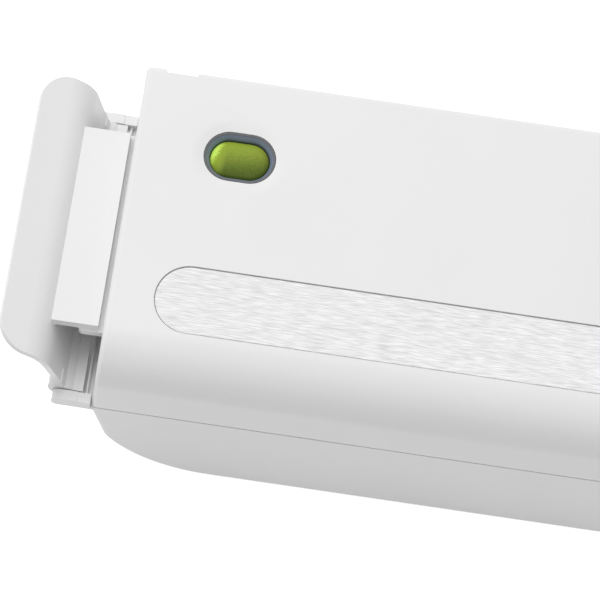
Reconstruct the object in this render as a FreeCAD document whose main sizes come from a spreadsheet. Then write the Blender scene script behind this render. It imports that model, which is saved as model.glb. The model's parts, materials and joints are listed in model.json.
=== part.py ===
import FreeCAD, Part
import math
import os
import Sketcher

# Driving sizes in millimetres, angles in degrees
SIZES = {
    # Lid casing
    "lid_length": 373.3, "lid_depth": 118, "lid_wall": 2.5, "end_draft": 2, "lid_brow_height": 35,
    "lid_rear_height": 46.3, "brow_radius": 18.8, "rear_edge_radius": 2.5, "lid_edge_radius": 1.8,
    "parting_gap": 0.6, "notch_offset": 9.25, "notch_width": 11.5, "notch_depth": 2.2, "notch_height": 24,
    # Base casing
    "base_height": 48, "base_wall": 2.5, "base_edge_radius": 2, "base_inner_radius": 1, "base_lip": 0.8,
    "end_inset": 5.65, "end_drop": 24.3, "keel_run": 13.5, "bilge_radius": 8, "foot_height": 4,
    "foot_radius": 8, "foot_spacing": 264, "foot_margin": 15, "foot_stem_radius": 2.5, "foot_stem_length": 5,
    # Fits
    "fit_gap": 0.3, "pin_clearance": 0.05, "screw_clearance": 0.05,
    # Rear hinge
    "knuckle_radius": 3.4, "hinge_gap": 0.4, "hinge_spacing": 240, "base_knuckle": 14,
    "lid_knuckle": 10, "hinge_pin_radius": 1.5,
    # Side latches, u outward from the lid's end and w up from the rim
    "arm_thickness": 4, "arm_gap": 0.4, "arm_radius": 2.6, "arm_reach": 4.8, "arm_corner_radius": 2.2,
    "pivot_out": 9.85, "pivot_rise": 0.9, "arm_step_out": 5.35, "arm_step_drop": 0.4, "lid_side_gap": 0.4,
    "shelf_gap": 0.5, "shelf_thickness": 2.5, "shelf_out": 4, "kerb_out": 1.95, "kerb_width": 0.8,
    "kerb_rise": 1.2, "latch_pin_radius": 1.5, "latch_pin_inset": 0.5, "pin_cover": 1, "barrel_radius": 3.4,
    "ear_radius": 6.7, "ear_rise": 2.2, "ear_width": 5, "lever_foot_out": 0.3, "lever_foot_up": 2.2,
    "lever_wall_run": 28, "lever_lip_run": 18.7, "lever_wall_lean": 15, "lever_lip_slope": 22,
    "lever_thickness": 2.5, "lever_bend_radius": 16, "lever_corner_radius": 12, "lip_flare": 1.2,
    "flare_low": 7, "flare_high": 19.5, "bar_near": 0.65, "bar_far": 17.65,
    "bar_low": 26.5, "bar_high": 30.3, "bar_front": 18.7, "bar_back": 21, "bar_root": 2, "nose_near": 0.75,
    "nose_far": 7.85, "nose_thickness": 3.2, "nose_front": 17.9, "nose_back": 20.2,
    "nose_corner_radius": 1.8, "toe_reach": 6.1, "toe_low": 0.2, "toe_thickness": 2.2, "rib_thickness": 3,
    "rib_pitch": 24, "keeper_drop": 1.4, "keeper_rise": 0.4, "keeper_play": 1.2, "seat_swing": 4.5,
    "seat_rise": 1.5,
    # Trim strip
    "strip_margin": 17.85, "strip_centre": 30.6, "strip_radius": 12.5, "strip_groove": 0.3,
    "strip_thickness": 1.2,
    # Start button, heights measured along the lid top's normal
    "button_inset": 40.25, "button_back": 30.8, "button_straight": 7.3, "cap_radius": 7.1,
    "cap_gap": 0.3, "cap_sink": 2, "cap_round": 3.2, "cap_flange": 1.2, "cap_flange_thickness": 1.7,
    "button_travel": 1.5, "bezel_radius": 9.35, "bezel_sink": 0.8, "bezel_height": 5.2,
    "bezel_flange": 1.6, "bezel_flange_thickness": 1.2, "bezel_play": 0.15, "dish_radius": 14,
    "stem_radius": 1.4, "stem_play": 0.2, "spring_radius": 5.3, "spring_wire": 0.7,
    # Control board under the button
    "control_length": 50, "control_width": 20, "board_thickness": 1.6, "control_depth": 15.4,
    "control_post_radius": 2.5, "control_post_x": 20, "control_post_y": 7, "tact_side": 6,
    "tact_height": 3.5, "tact_plunger_radius": 1.7, "tact_plunger_height": 0.6, "led_radius": 1.5,
    "led_height": 5, "led_offset": 8.5, "small_screw_radius": 1, "small_head_radius": 2,
    "small_head_height": 1.4, "small_screw_length": 8,
    # Lid liner
    "liner_height": 8, "liner_thickness": 2.5, "liner_post_radius": 4, "liner_post_inset": 36.65,
    "liner_post_front": 23, "liner_post_back": 10, "screw_radius": 1.5, "screw_head_radius": 2.8,
    "screw_head_height": 2.2, "liner_screw_length": 12, "peg_radius": 2.5, "peg_drop": 5.5,
    "peg_inset": 16.65, "peg_back": 38, "peg_hole_play": 1.3,
    # Deck, vacuum trough, gaskets and heat seal
    "deck_drop": 1, "deck_thickness": 3, "deck_corner": 2, "trough_front": 36, "trough_width": 26,
    "trough_length": 300, "trough_depth": 14, "trough_corner": 5, "basin_wall": 2, "gasket_margin": 3,
    "gasket_width": 6, "gasket_corner": 6, "gasket_groove": 1.2, "gasket_height": 4.2,
    "gasket_side_play": 0.2, "gasket_gap": 0.3, "seal_front": 8, "seal_width": 12, "seal_length": 310,
    "seal_groove": 1.5, "seal_bar_height": 4.5, "heater_width": 4, "heater_length": 300,
    "heater_thickness": 0.3, "tape_width": 11, "tape_thickness": 0.2, "press_width": 8,
    "press_gap": 0.4, "liner_groove": 1,
    # Deck fastening posts
    "post_radius": 4.5, "post_x": 150, "post_front": 24, "post_back": 9, "post_middle_x": 18,
    "boss_radius": 4, "boss_length": 8, "deck_screw_bite": 7, "screw_seat": 5,
    # Lid switches
    "switch_length": 20, "switch_width": 6.4, "switch_height": 10.5, "switch_plunger_radius": 1.2,
    "switch_plunger_height": 1.5, "switch_gap": 0.4,
    # Vacuum port, hose and pump
    "port_x": 35, "port_up": 4.5, "port_flange_radius": 4, "port_flange": 1.2, "port_radius": 2.9,
    "port_bore": 1.5, "port_length": 12, "hose_radius": 4, "hose_play": 0.1, "hose_bend": 12,
    "pump_x": 62, "pump_back": 23, "pump_length": 30, "pump_width": 34, "diaphragm_thickness": 1.5,
    "pump_cap_height": 8, "pump_bore": 8, "bracket_thickness": 3, "bracket_flange": 8,
    "motor_radius": 12.5, "motor_length": 42,
    "chamber_roof": 2.5, "chamber_clearance": 2, "chamber_depth": 20, "shaft_radius": 1.5,
    "shaft_bore_depth": 30, "shaft_end_gap": 2, "crank_radius": 5, "crank_throw": 2, "crank_width": 8,
    "crank_side_gap": 4, "nipple_length": 10,
    # Release valve
    "valve_inset": 46.65, "valve_width": 14, "valve_length": 15, "valve_height": 13, "valve_port_radius": 2,
    # Transformer
    "core_x": -86, "core_back": 25, "core_leg": 7, "core_window": 21, "core_stack": 16, "coil_gap": 0.2,
    "coil_build": 6.6,
    # Power board
    "power_x": -25, "power_back": 26, "power_length": 66, "power_width": 36, "power_up": 7.5,
    "power_post_radius": 3, "power_post_inset": 4, "relay_length": 19, "relay_width": 15,
    "relay_height": 15, "capacitor_radius": 6, "capacitor_height": 20, "plug_length": 12,
    "plug_width": 6, "plug_height": 8, "fuse_radius": 2.6, "fuse_length": 20, "fuse_gap": 1.5,
    # Mains inlet and vents
    "inlet_x": -128, "inlet_z": 25, "inlet_width": 24, "inlet_height": 15, "inlet_depth": 20,
    "inlet_flange": 2.5, "inlet_flange_thickness": 2, "socket_straight": 8.6, "socket_radius": 4.6,
    "socket_depth": 14, "inlet_pin_radius": 1.2, "inlet_pin_length": 11, "vent_x": 80, "vent_pitch": 6,
    "vent_width": 2.5, "vent_height": 14, "vent_z": 18,
}
VENT_COUNT = 7
# Share of a straight run that a large rounding takes up
ROUND_SHARE = 0.94
OVERSHOOT = 1.0
NEAR = 1e-4

doc = FreeCAD.newDocument("vacuum_sealer")
sheet = doc.addObject("Spreadsheet::Sheet", "sizes")


class Size:
    """A number together with the sheet formula that gives it."""

    def __init__(self, value, formula):
        self.value = float(value)
        self.formula = formula

    def __add__(self, other):
        return combine(self, "+", other, self.value + size_of(other).value)

    def __sub__(self, other):
        return combine(self, "-", other, self.value - size_of(other).value)

    def __mul__(self, other):
        return combine(self, "*", other, self.value * size_of(other).value)

    def __truediv__(self, other):
        return combine(self, "/", other, self.value / size_of(other).value)

    def __neg__(self):
        return combine(size_of(0), "-", self, -self.value)


def size_of(number):
    """The number itself as a Size, when it isn't one already."""
    if isinstance(number, Size):
        return number
    return Size(number, f"({float(number)!r})")


def combine(first, sign, second, value):
    """Two sizes joined by a sign in one formula."""
    return Size(value, f"({first.formula} {sign} {size_of(second).formula})")


def sine(angle):
    return Size(math.sin(math.radians(angle.value)), f"sin({angle.formula})")


def cosine(angle):
    return Size(math.cos(math.radians(angle.value)), f"cos({angle.formula})")


def arctangent(ratio):
    return Size(math.degrees(math.atan(ratio.value)), f"atan({ratio.formula})")


def fill_sheet():
    """Write every driving size into a named cell and return them by name."""
    named = {}
    for row, (name, value) in enumerate(SIZES.items(), start=1):
        sheet.set(f"A{row}", name)
        sheet.set(f"B{row}", str(value))
        sheet.setAlias(f"B{row}", name)
        named[name] = Size(value, f"sizes.{name}")
    doc.recompute()
    return named


d = fill_sheet()

# Main levels and planes
half_length = d["lid_length"] / 2
hinge_reach = d["hinge_gap"] + d["knuckle_radius"] * 2
y_front = -(d["lid_depth"] + hinge_reach) / 2
y_rear = y_front + d["lid_depth"]
hinge_y = y_rear + d["hinge_gap"] + d["knuckle_radius"]
z_bottom = d["foot_height"]
z_inside = z_bottom + d["base_wall"]
z_rim = z_bottom + d["base_height"]
lid_under = z_rim + d["parting_gap"]
top_slope = (d["lid_rear_height"] - d["lid_brow_height"]) / d["lid_depth"]
top_tilt = arctangent(top_slope)
draft_slope = d["end_draft"] / d["lid_rear_height"]
end_top = half_length - d["end_draft"]
base_half = half_length + d["base_lip"]
end_slope = d["end_inset"] / d["end_drop"]
deck_top = z_rim - d["deck_drop"]
deck_under = deck_top - d["deck_thickness"]
liner_under = z_rim + d["liner_height"]
liner_top = liner_under + d["liner_thickness"]
pivot_x = half_length + d["pivot_out"]
pivot_z = z_rim + d["pivot_rise"]
lever_front = y_front + d["arm_thickness"] + d["arm_gap"]
lever_rear = y_rear - d["arm_thickness"] - d["arm_gap"]


def lid_top(back):
    """Height of the lid's sloping top at a distance behind the front face."""
    return z_rim + d["lid_brow_height"] + top_slope * back


def top_frame(x, back):
    """A frame on the lid's sloping top: its origin and its tilt about X."""
    return (size_of(x), y_front + back, lid_top(back)), top_tilt


button_frame = top_frame(d["button_inset"] - half_length, d["lid_depth"] - d["button_back"])
strip_frame = top_frame(0, d["strip_centre"])

# Building blocks
AXIS_X = FreeCAD.Vector(1, 0, 0)
TURNS = {
    "x": FreeCAD.Rotation(FreeCAD.Vector(0, 1, 0), 90),
    "y": FreeCAD.Rotation(AXIS_X, -90),
    "z": FreeCAD.Rotation(),
}


def in_frame(frame, at):
    """A point of a tilted frame in the world."""
    origin, tilt = frame
    x, y, z = (size_of(value) for value in at)
    return (
        origin[0] + x,
        origin[1] + y * cosine(tilt) - z * sine(tilt),
        origin[2] + y * sine(tilt) + z * cosine(tilt),
    )


def place(piece, at, frame=None):
    """Bind a piece's position, given in the world or in a tilted frame."""
    spot = at
    if frame is not None:
        spot = in_frame(frame, at)
        tilt = frame[1]
        piece.Placement = FreeCAD.Placement(FreeCAD.Vector(), FreeCAD.Rotation(AXIS_X, tilt.value))
        piece.setExpression(".Placement.Rotation.Angle", tilt.formula)
    for axis, value in zip("xyz", spot):
        piece.setExpression(f".Placement.Base.{axis}", size_of(value).formula)
    return piece


def block(name, low, high, frame=None):
    """A box between two opposite corners."""
    box = doc.addObject("Part::Box", name)
    for side, start, end in zip(("Length", "Width", "Height"), low, high):
        box.setExpression(side, (size_of(end) - start).formula)
    return place(box, low, frame)


def rod(name, radius, start, length, along="z", frame=None):
    """A cylinder from a point along one axis."""
    cylinder = doc.addObject("Part::Cylinder", name)
    cylinder.setExpression("Radius", size_of(radius).formula)
    cylinder.setExpression("Height", size_of(length).formula)
    cylinder.Placement = FreeCAD.Placement(FreeCAD.Vector(), TURNS[along])
    return place(cylinder, start, frame)


def join(name, pieces):
    """One solid from pieces that meet."""
    fused = doc.addObject("Part::MultiFuse", name)
    fused.Shapes = pieces
    fused.Refine = True
    return fused


def gather(name, pieces):
    """Separate solids kept together under one name."""
    held = doc.addObject("Part::Compound", name)
    held.Links = pieces
    return held


def cut(name, body, tools):
    """A piece with tools taken out of it."""
    result = doc.addObject("Part::Cut", name)
    result.Base = body
    result.Tool = tools[0] if len(tools) == 1 else gather(f"{name}_tools", tools)
    result.Refine = True
    return result


def within(name, limit, pieces):
    """What of some pieces lies inside a limiting shape."""
    result = doc.addObject("Part::Common", name)
    result.Base = limit
    result.Tool = pieces[0] if len(pieces) == 1 else gather(f"{name}_pieces", pieces)
    return result


def tube(name, outer, inner, start, length, along="z", frame=None):
    """A round tube."""
    outside = rod(f"{name}_outside", outer, start, length, along, frame)
    inside = rod(f"{name}_inside", inner, start, length, along, frame)
    return cut(name, outside, [inside])


def mirrored(name, piece):
    """The same piece on the other side of the middle."""
    twin = doc.addObject("Part::Mirroring", name)
    twin.Source = piece
    twin.Normal = AXIS_X
    return twin


def draw_polygon(sketch, points):
    """Straight lines through points, each point tied to the origin by two sizes."""
    count = len(points)
    spots = [FreeCAD.Vector(size_of(a).value, size_of(b).value, 0) for a, b in points]
    for index in range(count):
        sketch.addGeometry(Part.LineSegment(spots[index], spots[(index + 1) % count]), False)
    for index in range(count):
        sketch.addConstraint(Sketcher.Constraint("Coincident", index, 2, (index + 1) % count, 1))
    for index, point in enumerate(points):
        for kind, value in zip(("DistanceX", "DistanceY"), point):
            value = size_of(value)
            tie = Sketcher.Constraint(kind, -1, 1, index, 1, value.value)
            number = sketch.addConstraint(tie)
            sketch.setExpression(f"Constraints[{number}]", value.formula)


def outline_sketch(body, name, plane, points):
    """A polygon drawn on one of a body's own origin planes."""
    sketch = body.newObject("Sketcher::SketchObject", name)
    role = f"{plane}_Plane"
    support = [feature for feature in body.Origin.OriginFeatures if feature.Role == role][0]
    sketch.AttachmentSupport = [(support, "")]
    sketch.MapMode = "FlatFace"
    draw_polygon(sketch, points)
    doc.recompute()
    return sketch


def prism(name, plane, points, depth, at=(0, 0, 0), centred=False, rounds=(), trim=None):
    """A polygon padded to a depth, trimmed right across by another one, with chosen edges rounded in turn."""
    body = doc.addObject("PartDesign::Body", name)
    feature = body.newObject("PartDesign::Pad", f"{name}_pad")
    feature.Profile = outline_sketch(body, f"{name}_outline", plane, points)
    feature.Midplane = centred
    feature.setExpression("Length", size_of(depth).formula)
    if trim is not None:
        trim_plane, trim_points, trim_length = trim
        doc.recompute()
        feature = body.newObject("PartDesign::Pocket", f"{name}_trim")
        feature.Profile = outline_sketch(body, f"{name}_trim_outline", trim_plane, trim_points)
        feature.Midplane = True
        feature.setExpression("Length", size_of(trim_length).formula)
    for number, (chosen, radius) in enumerate(rounds):
        doc.recompute()
        edges = [f"Edge{i}" for i, edge in enumerate(feature.Shape.Edges, start=1) if chosen(edge)]
        rounding = body.newObject("PartDesign::Fillet", f"{name}_round_{number}")
        rounding.Base = (feature, edges)
        rounding.setExpression("Radius", size_of(radius).formula)
        feature = rounding
    place(body, at)
    return body


def edge_at(x=None, y=None, z=None):
    """A test for edges that lie in the given coordinate planes."""
    def chosen(edge):
        box = edge.BoundBox
        spans = ((x, box.XMin, box.XMax), (y, box.YMin, box.YMax), (z, box.ZMin, box.ZMax))
        wanted = [span for span in spans if span[0] is not None]
        return all(abs(low - at.value) < NEAR and abs(high - at.value) < NEAR for at, low, high in wanted)
    return chosen


def upright(edge):
    """A test for edges that stand along Z."""
    box = edge.BoundBox
    return box.XLength < NEAR and box.YLength < NEAR


def rounded_block(name, low, high, radius):
    """A box with rounded upright edges."""
    width = size_of(high[0]) - low[0]
    depth = size_of(high[1]) - low[1]
    outline = [(0, 0), (width, 0), (width, depth), (0, depth)]
    return prism(name, "XY", outline, size_of(high[2]) - low[2], low, rounds=[(upright, radius)])


def stadium(name, straight, radius, low, high, frame):
    """A flat bar with half-round ends, standing from one height to another."""
    half = straight / 2
    middle = block(f"{name}_middle", (-half, -radius, low), (half, radius, high), frame)
    ends = [
        rod(f"{name}_end_{side}", radius, (x, 0, low), size_of(high) - low, "z", frame)
        for side, x in (("left", -half), ("right", half))
    ]
    return join(name, [middle] + ends)


def ring(name, low, high, width, corner):
    """A gasket ring: a rounded frame of one width around a rounded opening."""
    inner_low = (low[0] + width, low[1] + width, size_of(low[2]) - OVERSHOOT)
    inner_high = (high[0] - width, high[1] - width, size_of(high[2]) + OVERSHOOT)
    outer = rounded_block(f"{name}_outer", low, high, corner + width)
    inner = rounded_block(f"{name}_inner", inner_low, inner_high, corner)
    return cut(name, outer, [inner])


# Shared places
def both_sides(size):
    return (("left", -size), ("right", size))


liner_post_x = half_length - d["liner_post_inset"]
peg_x = half_length - d["peg_inset"]
peg_y = y_rear - d["peg_back"]
valve_x = half_length - d["valve_inset"]
post_spots = [
    (f"{row}_{side}", x, y_front + back)
    for row, back in (("front", d["post_front"]), ("rear", d["lid_depth"] - d["post_back"]))
    for side, x in (("left", -d["post_x"]), ("middle", d["post_middle_x"]), ("right", d["post_x"]))
]
liner_spots = [
    (f"{row}_{side}", x, back)
    for row, back in (("front", d["liner_post_front"]), ("rear", d["lid_depth"] - d["liner_post_back"]))
    for side, x in (("left", -liner_post_x), ("middle", size_of(0)), ("right", liner_post_x))
]
control_spots = [
    (f"{row}_{side}", x, y)
    for row, y in (("front", -d["control_post_y"]), ("rear", d["control_post_y"]))
    for side, x in both_sides(d["control_post_x"])
]
foot_spots = [
    (f"{row}_{side}", x, y)
    for row, y in (("front", y_front + d["foot_margin"]), ("rear", y_rear - d["foot_margin"]))
    for side, x in both_sides(d["foot_spacing"] / 2)
]
screw_hole = d["screw_radius"] + d["screw_clearance"]
small_hole = d["small_screw_radius"] + d["screw_clearance"]
board_back = -d["control_depth"]
trough_low = (-d["trough_length"] / 2, y_front + d["trough_front"], deck_top - d["trough_depth"])
trough_high = (d["trough_length"] / 2, trough_low[1] + d["trough_width"], deck_top + OVERSHOOT)
port_z = trough_low[2] + d["port_up"]
basin_rear = trough_high[1] + d["basin_wall"]
power_under = z_inside + d["power_up"]


def gasket_span(play, low_z, high_z):
    """Corners of the gasket ring, or of its groove when there is no play."""
    reach = d["gasket_margin"] + d["gasket_width"] - play
    low = (trough_low[0] - reach, trough_low[1] - reach, low_z)
    high = (trough_high[0] + reach, trough_high[1] + reach, high_z)
    return low, high


# Hinge knuckles at the rear
def knuckle(name, start_x, width, low_z, high_z, inner_y):
    """A hinge barrel with the web that carries it."""
    barrel = rod(f"{name}_barrel", d["knuckle_radius"], (start_x, hinge_y, z_rim), width, "x")
    web = block(f"{name}_web", (start_x, inner_y, low_z), (start_x + width, hinge_y, high_z))
    return join(name, [barrel, web])


def hinge_width():
    return d["base_knuckle"] + (d["lid_knuckle"] + d["hinge_gap"]) * 2


def hinge_bores(name, radius):
    """Two bores along the hinge line, one at each hinge."""
    width = hinge_width() + OVERSHOOT * 2
    return [
        rod(f"{name}_{side}", radius, (x - width / 2, hinge_y, z_rim), width, "x")
        for side, x in both_sides(d["hinge_spacing"] / 2)
    ]


def lid_knuckles():
    pieces = []
    step = (d["base_knuckle"] + d["lid_knuckle"]) / 2 + d["hinge_gap"]
    for side, x in both_sides(d["hinge_spacing"] / 2):
        for place_name, centre in (("outer", x - step), ("inner", x + step)):
            name = f"lid_knuckle_{side}_{place_name}"
            start = centre - d["lid_knuckle"] / 2
            high = z_rim + d["knuckle_radius"]
            inner = y_rear - d["lid_wall"] / 2
            pieces.append(knuckle(name, start, d["lid_knuckle"], lid_under, high, inner))
    return pieces


def base_knuckles():
    low = z_rim - d["knuckle_radius"]
    high = z_rim - d["parting_gap"]
    inner = y_rear - d["base_wall"] / 2
    return [
        knuckle(f"base_knuckle_{side}", x - d["base_knuckle"] / 2, d["base_knuckle"], low, high, inner)
        for side, x in both_sides(d["hinge_spacing"] / 2)
    ]


def hinge_pins():
    width = hinge_width()
    return gather("lid_hinge_pins", [
        rod(f"hinge_pin_{side}", d["hinge_pin_radius"], (x - width / 2, hinge_y, z_rim), width, "x")
        for side, x in both_sides(d["hinge_spacing"] / 2)
    ])


# Lid casing
def lid_form(name, shift, low, end_lean, rear_radius=None, end_radius=None):
    """The lid's outside, or its hollow when moved in: ends that may lean and a top that rises to the rear."""
    half_depth = d["lid_depth"] / 2 - shift
    brow = z_rim + d["lid_brow_height"] + top_slope * shift - shift
    rear = z_rim + d["lid_rear_height"] - top_slope * shift - shift
    high = rear + top_slope * OVERSHOOT
    low_x = end_top - shift + end_lean * (rear - low)
    high_x = end_top - shift - end_lean * (high - rear)
    outline = [(-low_x, low), (low_x, low), (high_x, high), (-high_x, high)]
    slope = [(-half_depth - OVERSHOOT, brow - top_slope * OVERSHOOT), (half_depth + OVERSHOOT, high),
             (half_depth + OVERSHOOT, high + OVERSHOOT), (-half_depth - OVERSHOOT, high + OVERSHOOT)]

    def end_edge(edge):
        box = edge.BoundBox
        outermost = min(abs(box.XMin), abs(box.XMax)) > high_x.value - NEAR
        return outermost and box.XLength < high_x.value and box.ZMax > low.value + NEAR

    rounds = [(edge_at(y=-half_depth, z=brow), d["brow_radius"] - shift)]
    if rear_radius is not None:
        rounds.append((edge_at(y=half_depth, z=rear), rear_radius))
    if end_radius is not None:
        rounds.append((end_edge, end_radius))
    return prism(name, "XZ", outline, half_depth * 2, (0, y_front + d["lid_depth"] / 2, 0), True, rounds,
                 ("YZ", slope, d["lid_length"] + OVERSHOOT * 2))


def lid_blank():
    """The hollow lid, open below."""
    outer = lid_form("lid_outer", size_of(0), lid_under, draft_slope, d["rear_edge_radius"],
                     d["lid_edge_radius"])
    inner = lid_form("lid_hollow", d["lid_wall"], lid_under - OVERSHOOT, size_of(0))
    return cut("lid_blank", outer, [inner])


def lid_posts():
    """Posts under the lid's top that take the liner and the control board."""
    posts = []
    for name, x, back in liner_spots:
        top = lid_top(back) - d["lid_wall"] / 2
        posts.append(rod(f"liner_post_{name}", d["liner_post_radius"], (x, y_front + back, liner_top),
                         top - liner_top))
    for name, x, y in control_spots:
        length = d["control_depth"] - d["lid_wall"] / 2
        posts.append(rod(f"control_post_{name}", d["control_post_radius"], (x, y, board_back), length,
                         "z", button_frame))
    return posts


notch_x = half_length - d["notch_offset"] - d["notch_width"] / 2
notch_low = z_rim + d["lid_rear_height"] - d["notch_height"]


def notch_backs():
    """Thicker wall inside the lid, behind the notches of its rear edge."""
    backs = []
    wall = d["lid_wall"]
    half_back = d["notch_width"] / 2 + wall
    front = y_rear - d["notch_depth"] - wall
    top = z_rim + d["lid_rear_height"] - wall / 2
    for side, x in both_sides(notch_x):
        backs.append(block(f"notch_back_{side}", (x - half_back, front, notch_low - wall),
                           (x + half_back, y_rear - wall / 2, top)))
    return backs


def lid_cutters():
    """Recesses, holes and slots of the lid casing."""
    straight = d["lid_length"] - (d["strip_margin"] + d["strip_radius"]) * 2
    recess = stadium("strip_recess", straight, d["strip_radius"] + d["strip_groove"],
                     -d["strip_thickness"], OVERSHOOT, strip_frame)
    opening = stadium("button_opening", d["button_straight"], d["bezel_radius"] + d["bezel_play"],
                      -d["lid_wall"] - OVERSHOOT, OVERSHOOT, button_frame)
    tools = [recess, opening, button_dish()] + latch_seats()
    reach = d["lid_wall"] + OVERSHOOT
    for side, x in both_sides(end_top):
        low = (x - reach, y_front + d["nose_front"] - d["keeper_play"],
               z_rim + d["bar_low"] - d["nose_thickness"] - d["keeper_drop"])
        high = (x + reach, y_rear - d["nose_back"] + d["keeper_play"],
                z_rim + d["bar_low"] + d["keeper_rise"])
        tools.append(block(f"keeper_slot_{side}", low, high))
    for side, x in both_sides(notch_x):
        half_notch = d["notch_width"] / 2
        notch_high = (x + half_notch, y_rear + OVERSHOOT, z_rim + d["lid_rear_height"] + OVERSHOOT)
        tools.append(block(f"rear_notch_{side}", (x - half_notch, y_rear - d["notch_depth"], notch_low),
                           notch_high))
    for name, x, back in liner_spots:
        tools.append(rod(f"liner_pilot_{name}", screw_hole, (x, y_front + back, liner_top - OVERSHOOT),
                         d["liner_screw_length"] + OVERSHOOT))
    for name, x, y in control_spots:
        tools.append(rod(f"control_pilot_{name}", small_hole, (x, y, board_back - OVERSHOOT),
                         d["small_screw_length"] + OVERSHOOT, "z", button_frame))
    return tools + hinge_bores("lid_hinge_bore", d["hinge_pin_radius"] + d["pin_clearance"])


def latch_seats():
    """Upright flats in the lid's ends, where the lever's nose passes and its bar closes."""
    far = half_length + OVERSHOOT
    nose_top = z_rim + d["bar_low"]
    bar_top = z_rim + d["bar_high"] + d["seat_rise"]
    nose_start = y_front + d["nose_front"] - d["seat_swing"]
    bar_start = y_front + d["bar_front"] - d["keeper_play"]
    nose_seat = block("nose_seat", (end_top, nose_start, lid_under - OVERSHOOT),
                      (far, y_rear - d["nose_back"] + d["keeper_play"], nose_top))
    bar_seat = block("bar_seat", (end_top, bar_start, nose_top - OVERSHOOT),
                     (far, y_rear - d["bar_back"] + d["keeper_play"], bar_top))
    seat = join("latch_seat", [nose_seat, bar_seat])
    return [seat, mirrored("latch_seat_left", seat)]


def button_dish():
    """The shallow dish that runs down to the button's bezel."""
    low_radius = d["bezel_radius"] + d["bezel_play"]
    drop = d["bezel_sink"]
    half = d["button_straight"] / 2
    cones = []
    for side, x in both_sides(half):
        cone = doc.addObject("Part::Cone", f"dish_end_{side}")
        cone.setExpression("Radius1", low_radius.formula)
        cone.setExpression("Radius2", d["dish_radius"].formula)
        cone.setExpression("Height", drop.formula)
        cones.append(place(cone, (x, 0, -drop), button_frame))
    outline = [(-low_radius, -drop), (low_radius, -drop), (d["dish_radius"], 0), (-d["dish_radius"], 0)]
    middle = prism("dish_middle", "YZ", outline, d["button_straight"], centred=True)
    place(middle, (0, 0, 0), button_frame)
    return join("button_dish", cones + [middle])


def lid_shell():
    solid = join("lid_solid", [lid_blank()] + lid_posts() + notch_backs() + lid_knuckles())
    return cut("lid_shell", solid, lid_cutters())


def trim_strip():
    straight = d["lid_length"] - (d["strip_margin"] + d["strip_radius"]) * 2
    return stadium("trim_strip", straight, d["strip_radius"], -d["strip_thickness"], 0, strip_frame)


# Start button
def button_bezel():
    top = -d["bezel_sink"]
    bottom = top - d["bezel_height"]
    straight = d["button_straight"]
    flange_top = -d["lid_wall"]
    sleeve = stadium("bezel_sleeve", straight, d["bezel_radius"], bottom, top, button_frame)
    flange = stadium("bezel_flange", straight, d["bezel_radius"] + d["bezel_flange"],
                     flange_top - d["bezel_flange_thickness"], flange_top, button_frame)
    bore = stadium("bezel_bore", straight, d["cap_radius"] + d["cap_gap"], bottom - OVERSHOOT,
                   top + OVERSHOOT, button_frame)
    return cut("button_bezel", join("bezel_solid", [sleeve, flange]), [bore])


cap_flange_top = -d["bezel_sink"] - d["bezel_height"] - d["cap_gap"]
cap_under = cap_flange_top - d["cap_flange_thickness"]
tact_top = board_back + d["tact_height"] + d["tact_plunger_height"]


def button_cap():
    """The pressed cap: a rounded top, a flange that keeps it in, and a stem to its switch."""
    straight = d["button_straight"]
    top = -d["cap_sink"]
    crown = crowned_stadium("cap_crown", straight, d["cap_radius"], cap_under, top, d["cap_round"])
    flange = stadium("cap_flange_plate", straight, d["cap_radius"] + d["cap_flange"], cap_under,
                     cap_flange_top, button_frame)
    stem_end = tact_top + d["button_travel"] + d["stem_play"]
    stem = rod("cap_stem", d["stem_radius"], (0, 0, stem_end), cap_under - stem_end, "z", button_frame)
    return join("button_cap", [crown, flange, stem])


def crowned_stadium(name, straight, radius, low, high, rounding):
    """A half-round-ended bar whose top edge is rounded over."""
    half = straight / 2
    pieces = []
    shoulder = high - rounding
    pieces.append(stadium(f"{name}_wall", straight, radius, low, shoulder, button_frame))
    pieces.append(stadium(f"{name}_top", straight, radius - rounding, low, high, button_frame))
    for side, x in both_sides(half):
        turn = doc.addObject("Part::Torus", f"{name}_round_{side}")
        turn.setExpression("Radius1", (radius - rounding).formula)
        turn.setExpression("Radius2", rounding.formula)
        pieces.append(place(turn, (x, 0, shoulder), button_frame))
    for side, y in (("front", rounding - radius), ("rear", radius - rounding)):
        start = in_frame(button_frame, (-half, y, shoulder))
        pieces.append(rod(f"{name}_run_{side}", rounding, start, straight, "x"))
    return join(name, pieces)


def button_spring():
    return tube("button_spring", d["spring_radius"], d["spring_radius"] - d["spring_wire"],
                (0, 0, board_back), cap_under - board_back, "z", button_frame)


# Control board in the lid
def control_board():
    half_x = d["control_length"] / 2
    half_y = d["control_width"] / 2
    plate = block("control_plate", (-half_x, -half_y, board_back - d["board_thickness"]),
                  (half_x, half_y, board_back), button_frame)
    holes = [
        rod(f"control_hole_{name}", small_hole, (x, y, board_back - d["board_thickness"] - OVERSHOOT),
            d["board_thickness"] + OVERSHOOT * 2, "z", button_frame)
        for name, x, y in control_spots
    ]
    return cut("control_board", plate, holes)


def tact_switch():
    half = d["tact_side"] / 2
    body_top = board_back + d["tact_height"]
    case = block("tact_case", (-half, -half, board_back), (half, half, body_top), button_frame)
    plunger = rod("tact_plunger", d["tact_plunger_radius"], (0, 0, body_top - OVERSHOOT),
                  d["tact_plunger_height"] + OVERSHOOT, "z", button_frame)
    return join("tact_switch", [case, plunger])


def status_led():
    spot = (d["led_offset"], size_of(0), board_back)
    length = d["led_height"] - d["led_radius"]
    can = rod("led_can", d["led_radius"], spot, length, "z", button_frame)
    dome = doc.addObject("Part::Sphere", "led_dome")
    dome.setExpression("Radius", d["led_radius"].formula)
    place(dome, (spot[0], spot[1], board_back + length), button_frame)
    return join("status_led", [can, dome])


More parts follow.
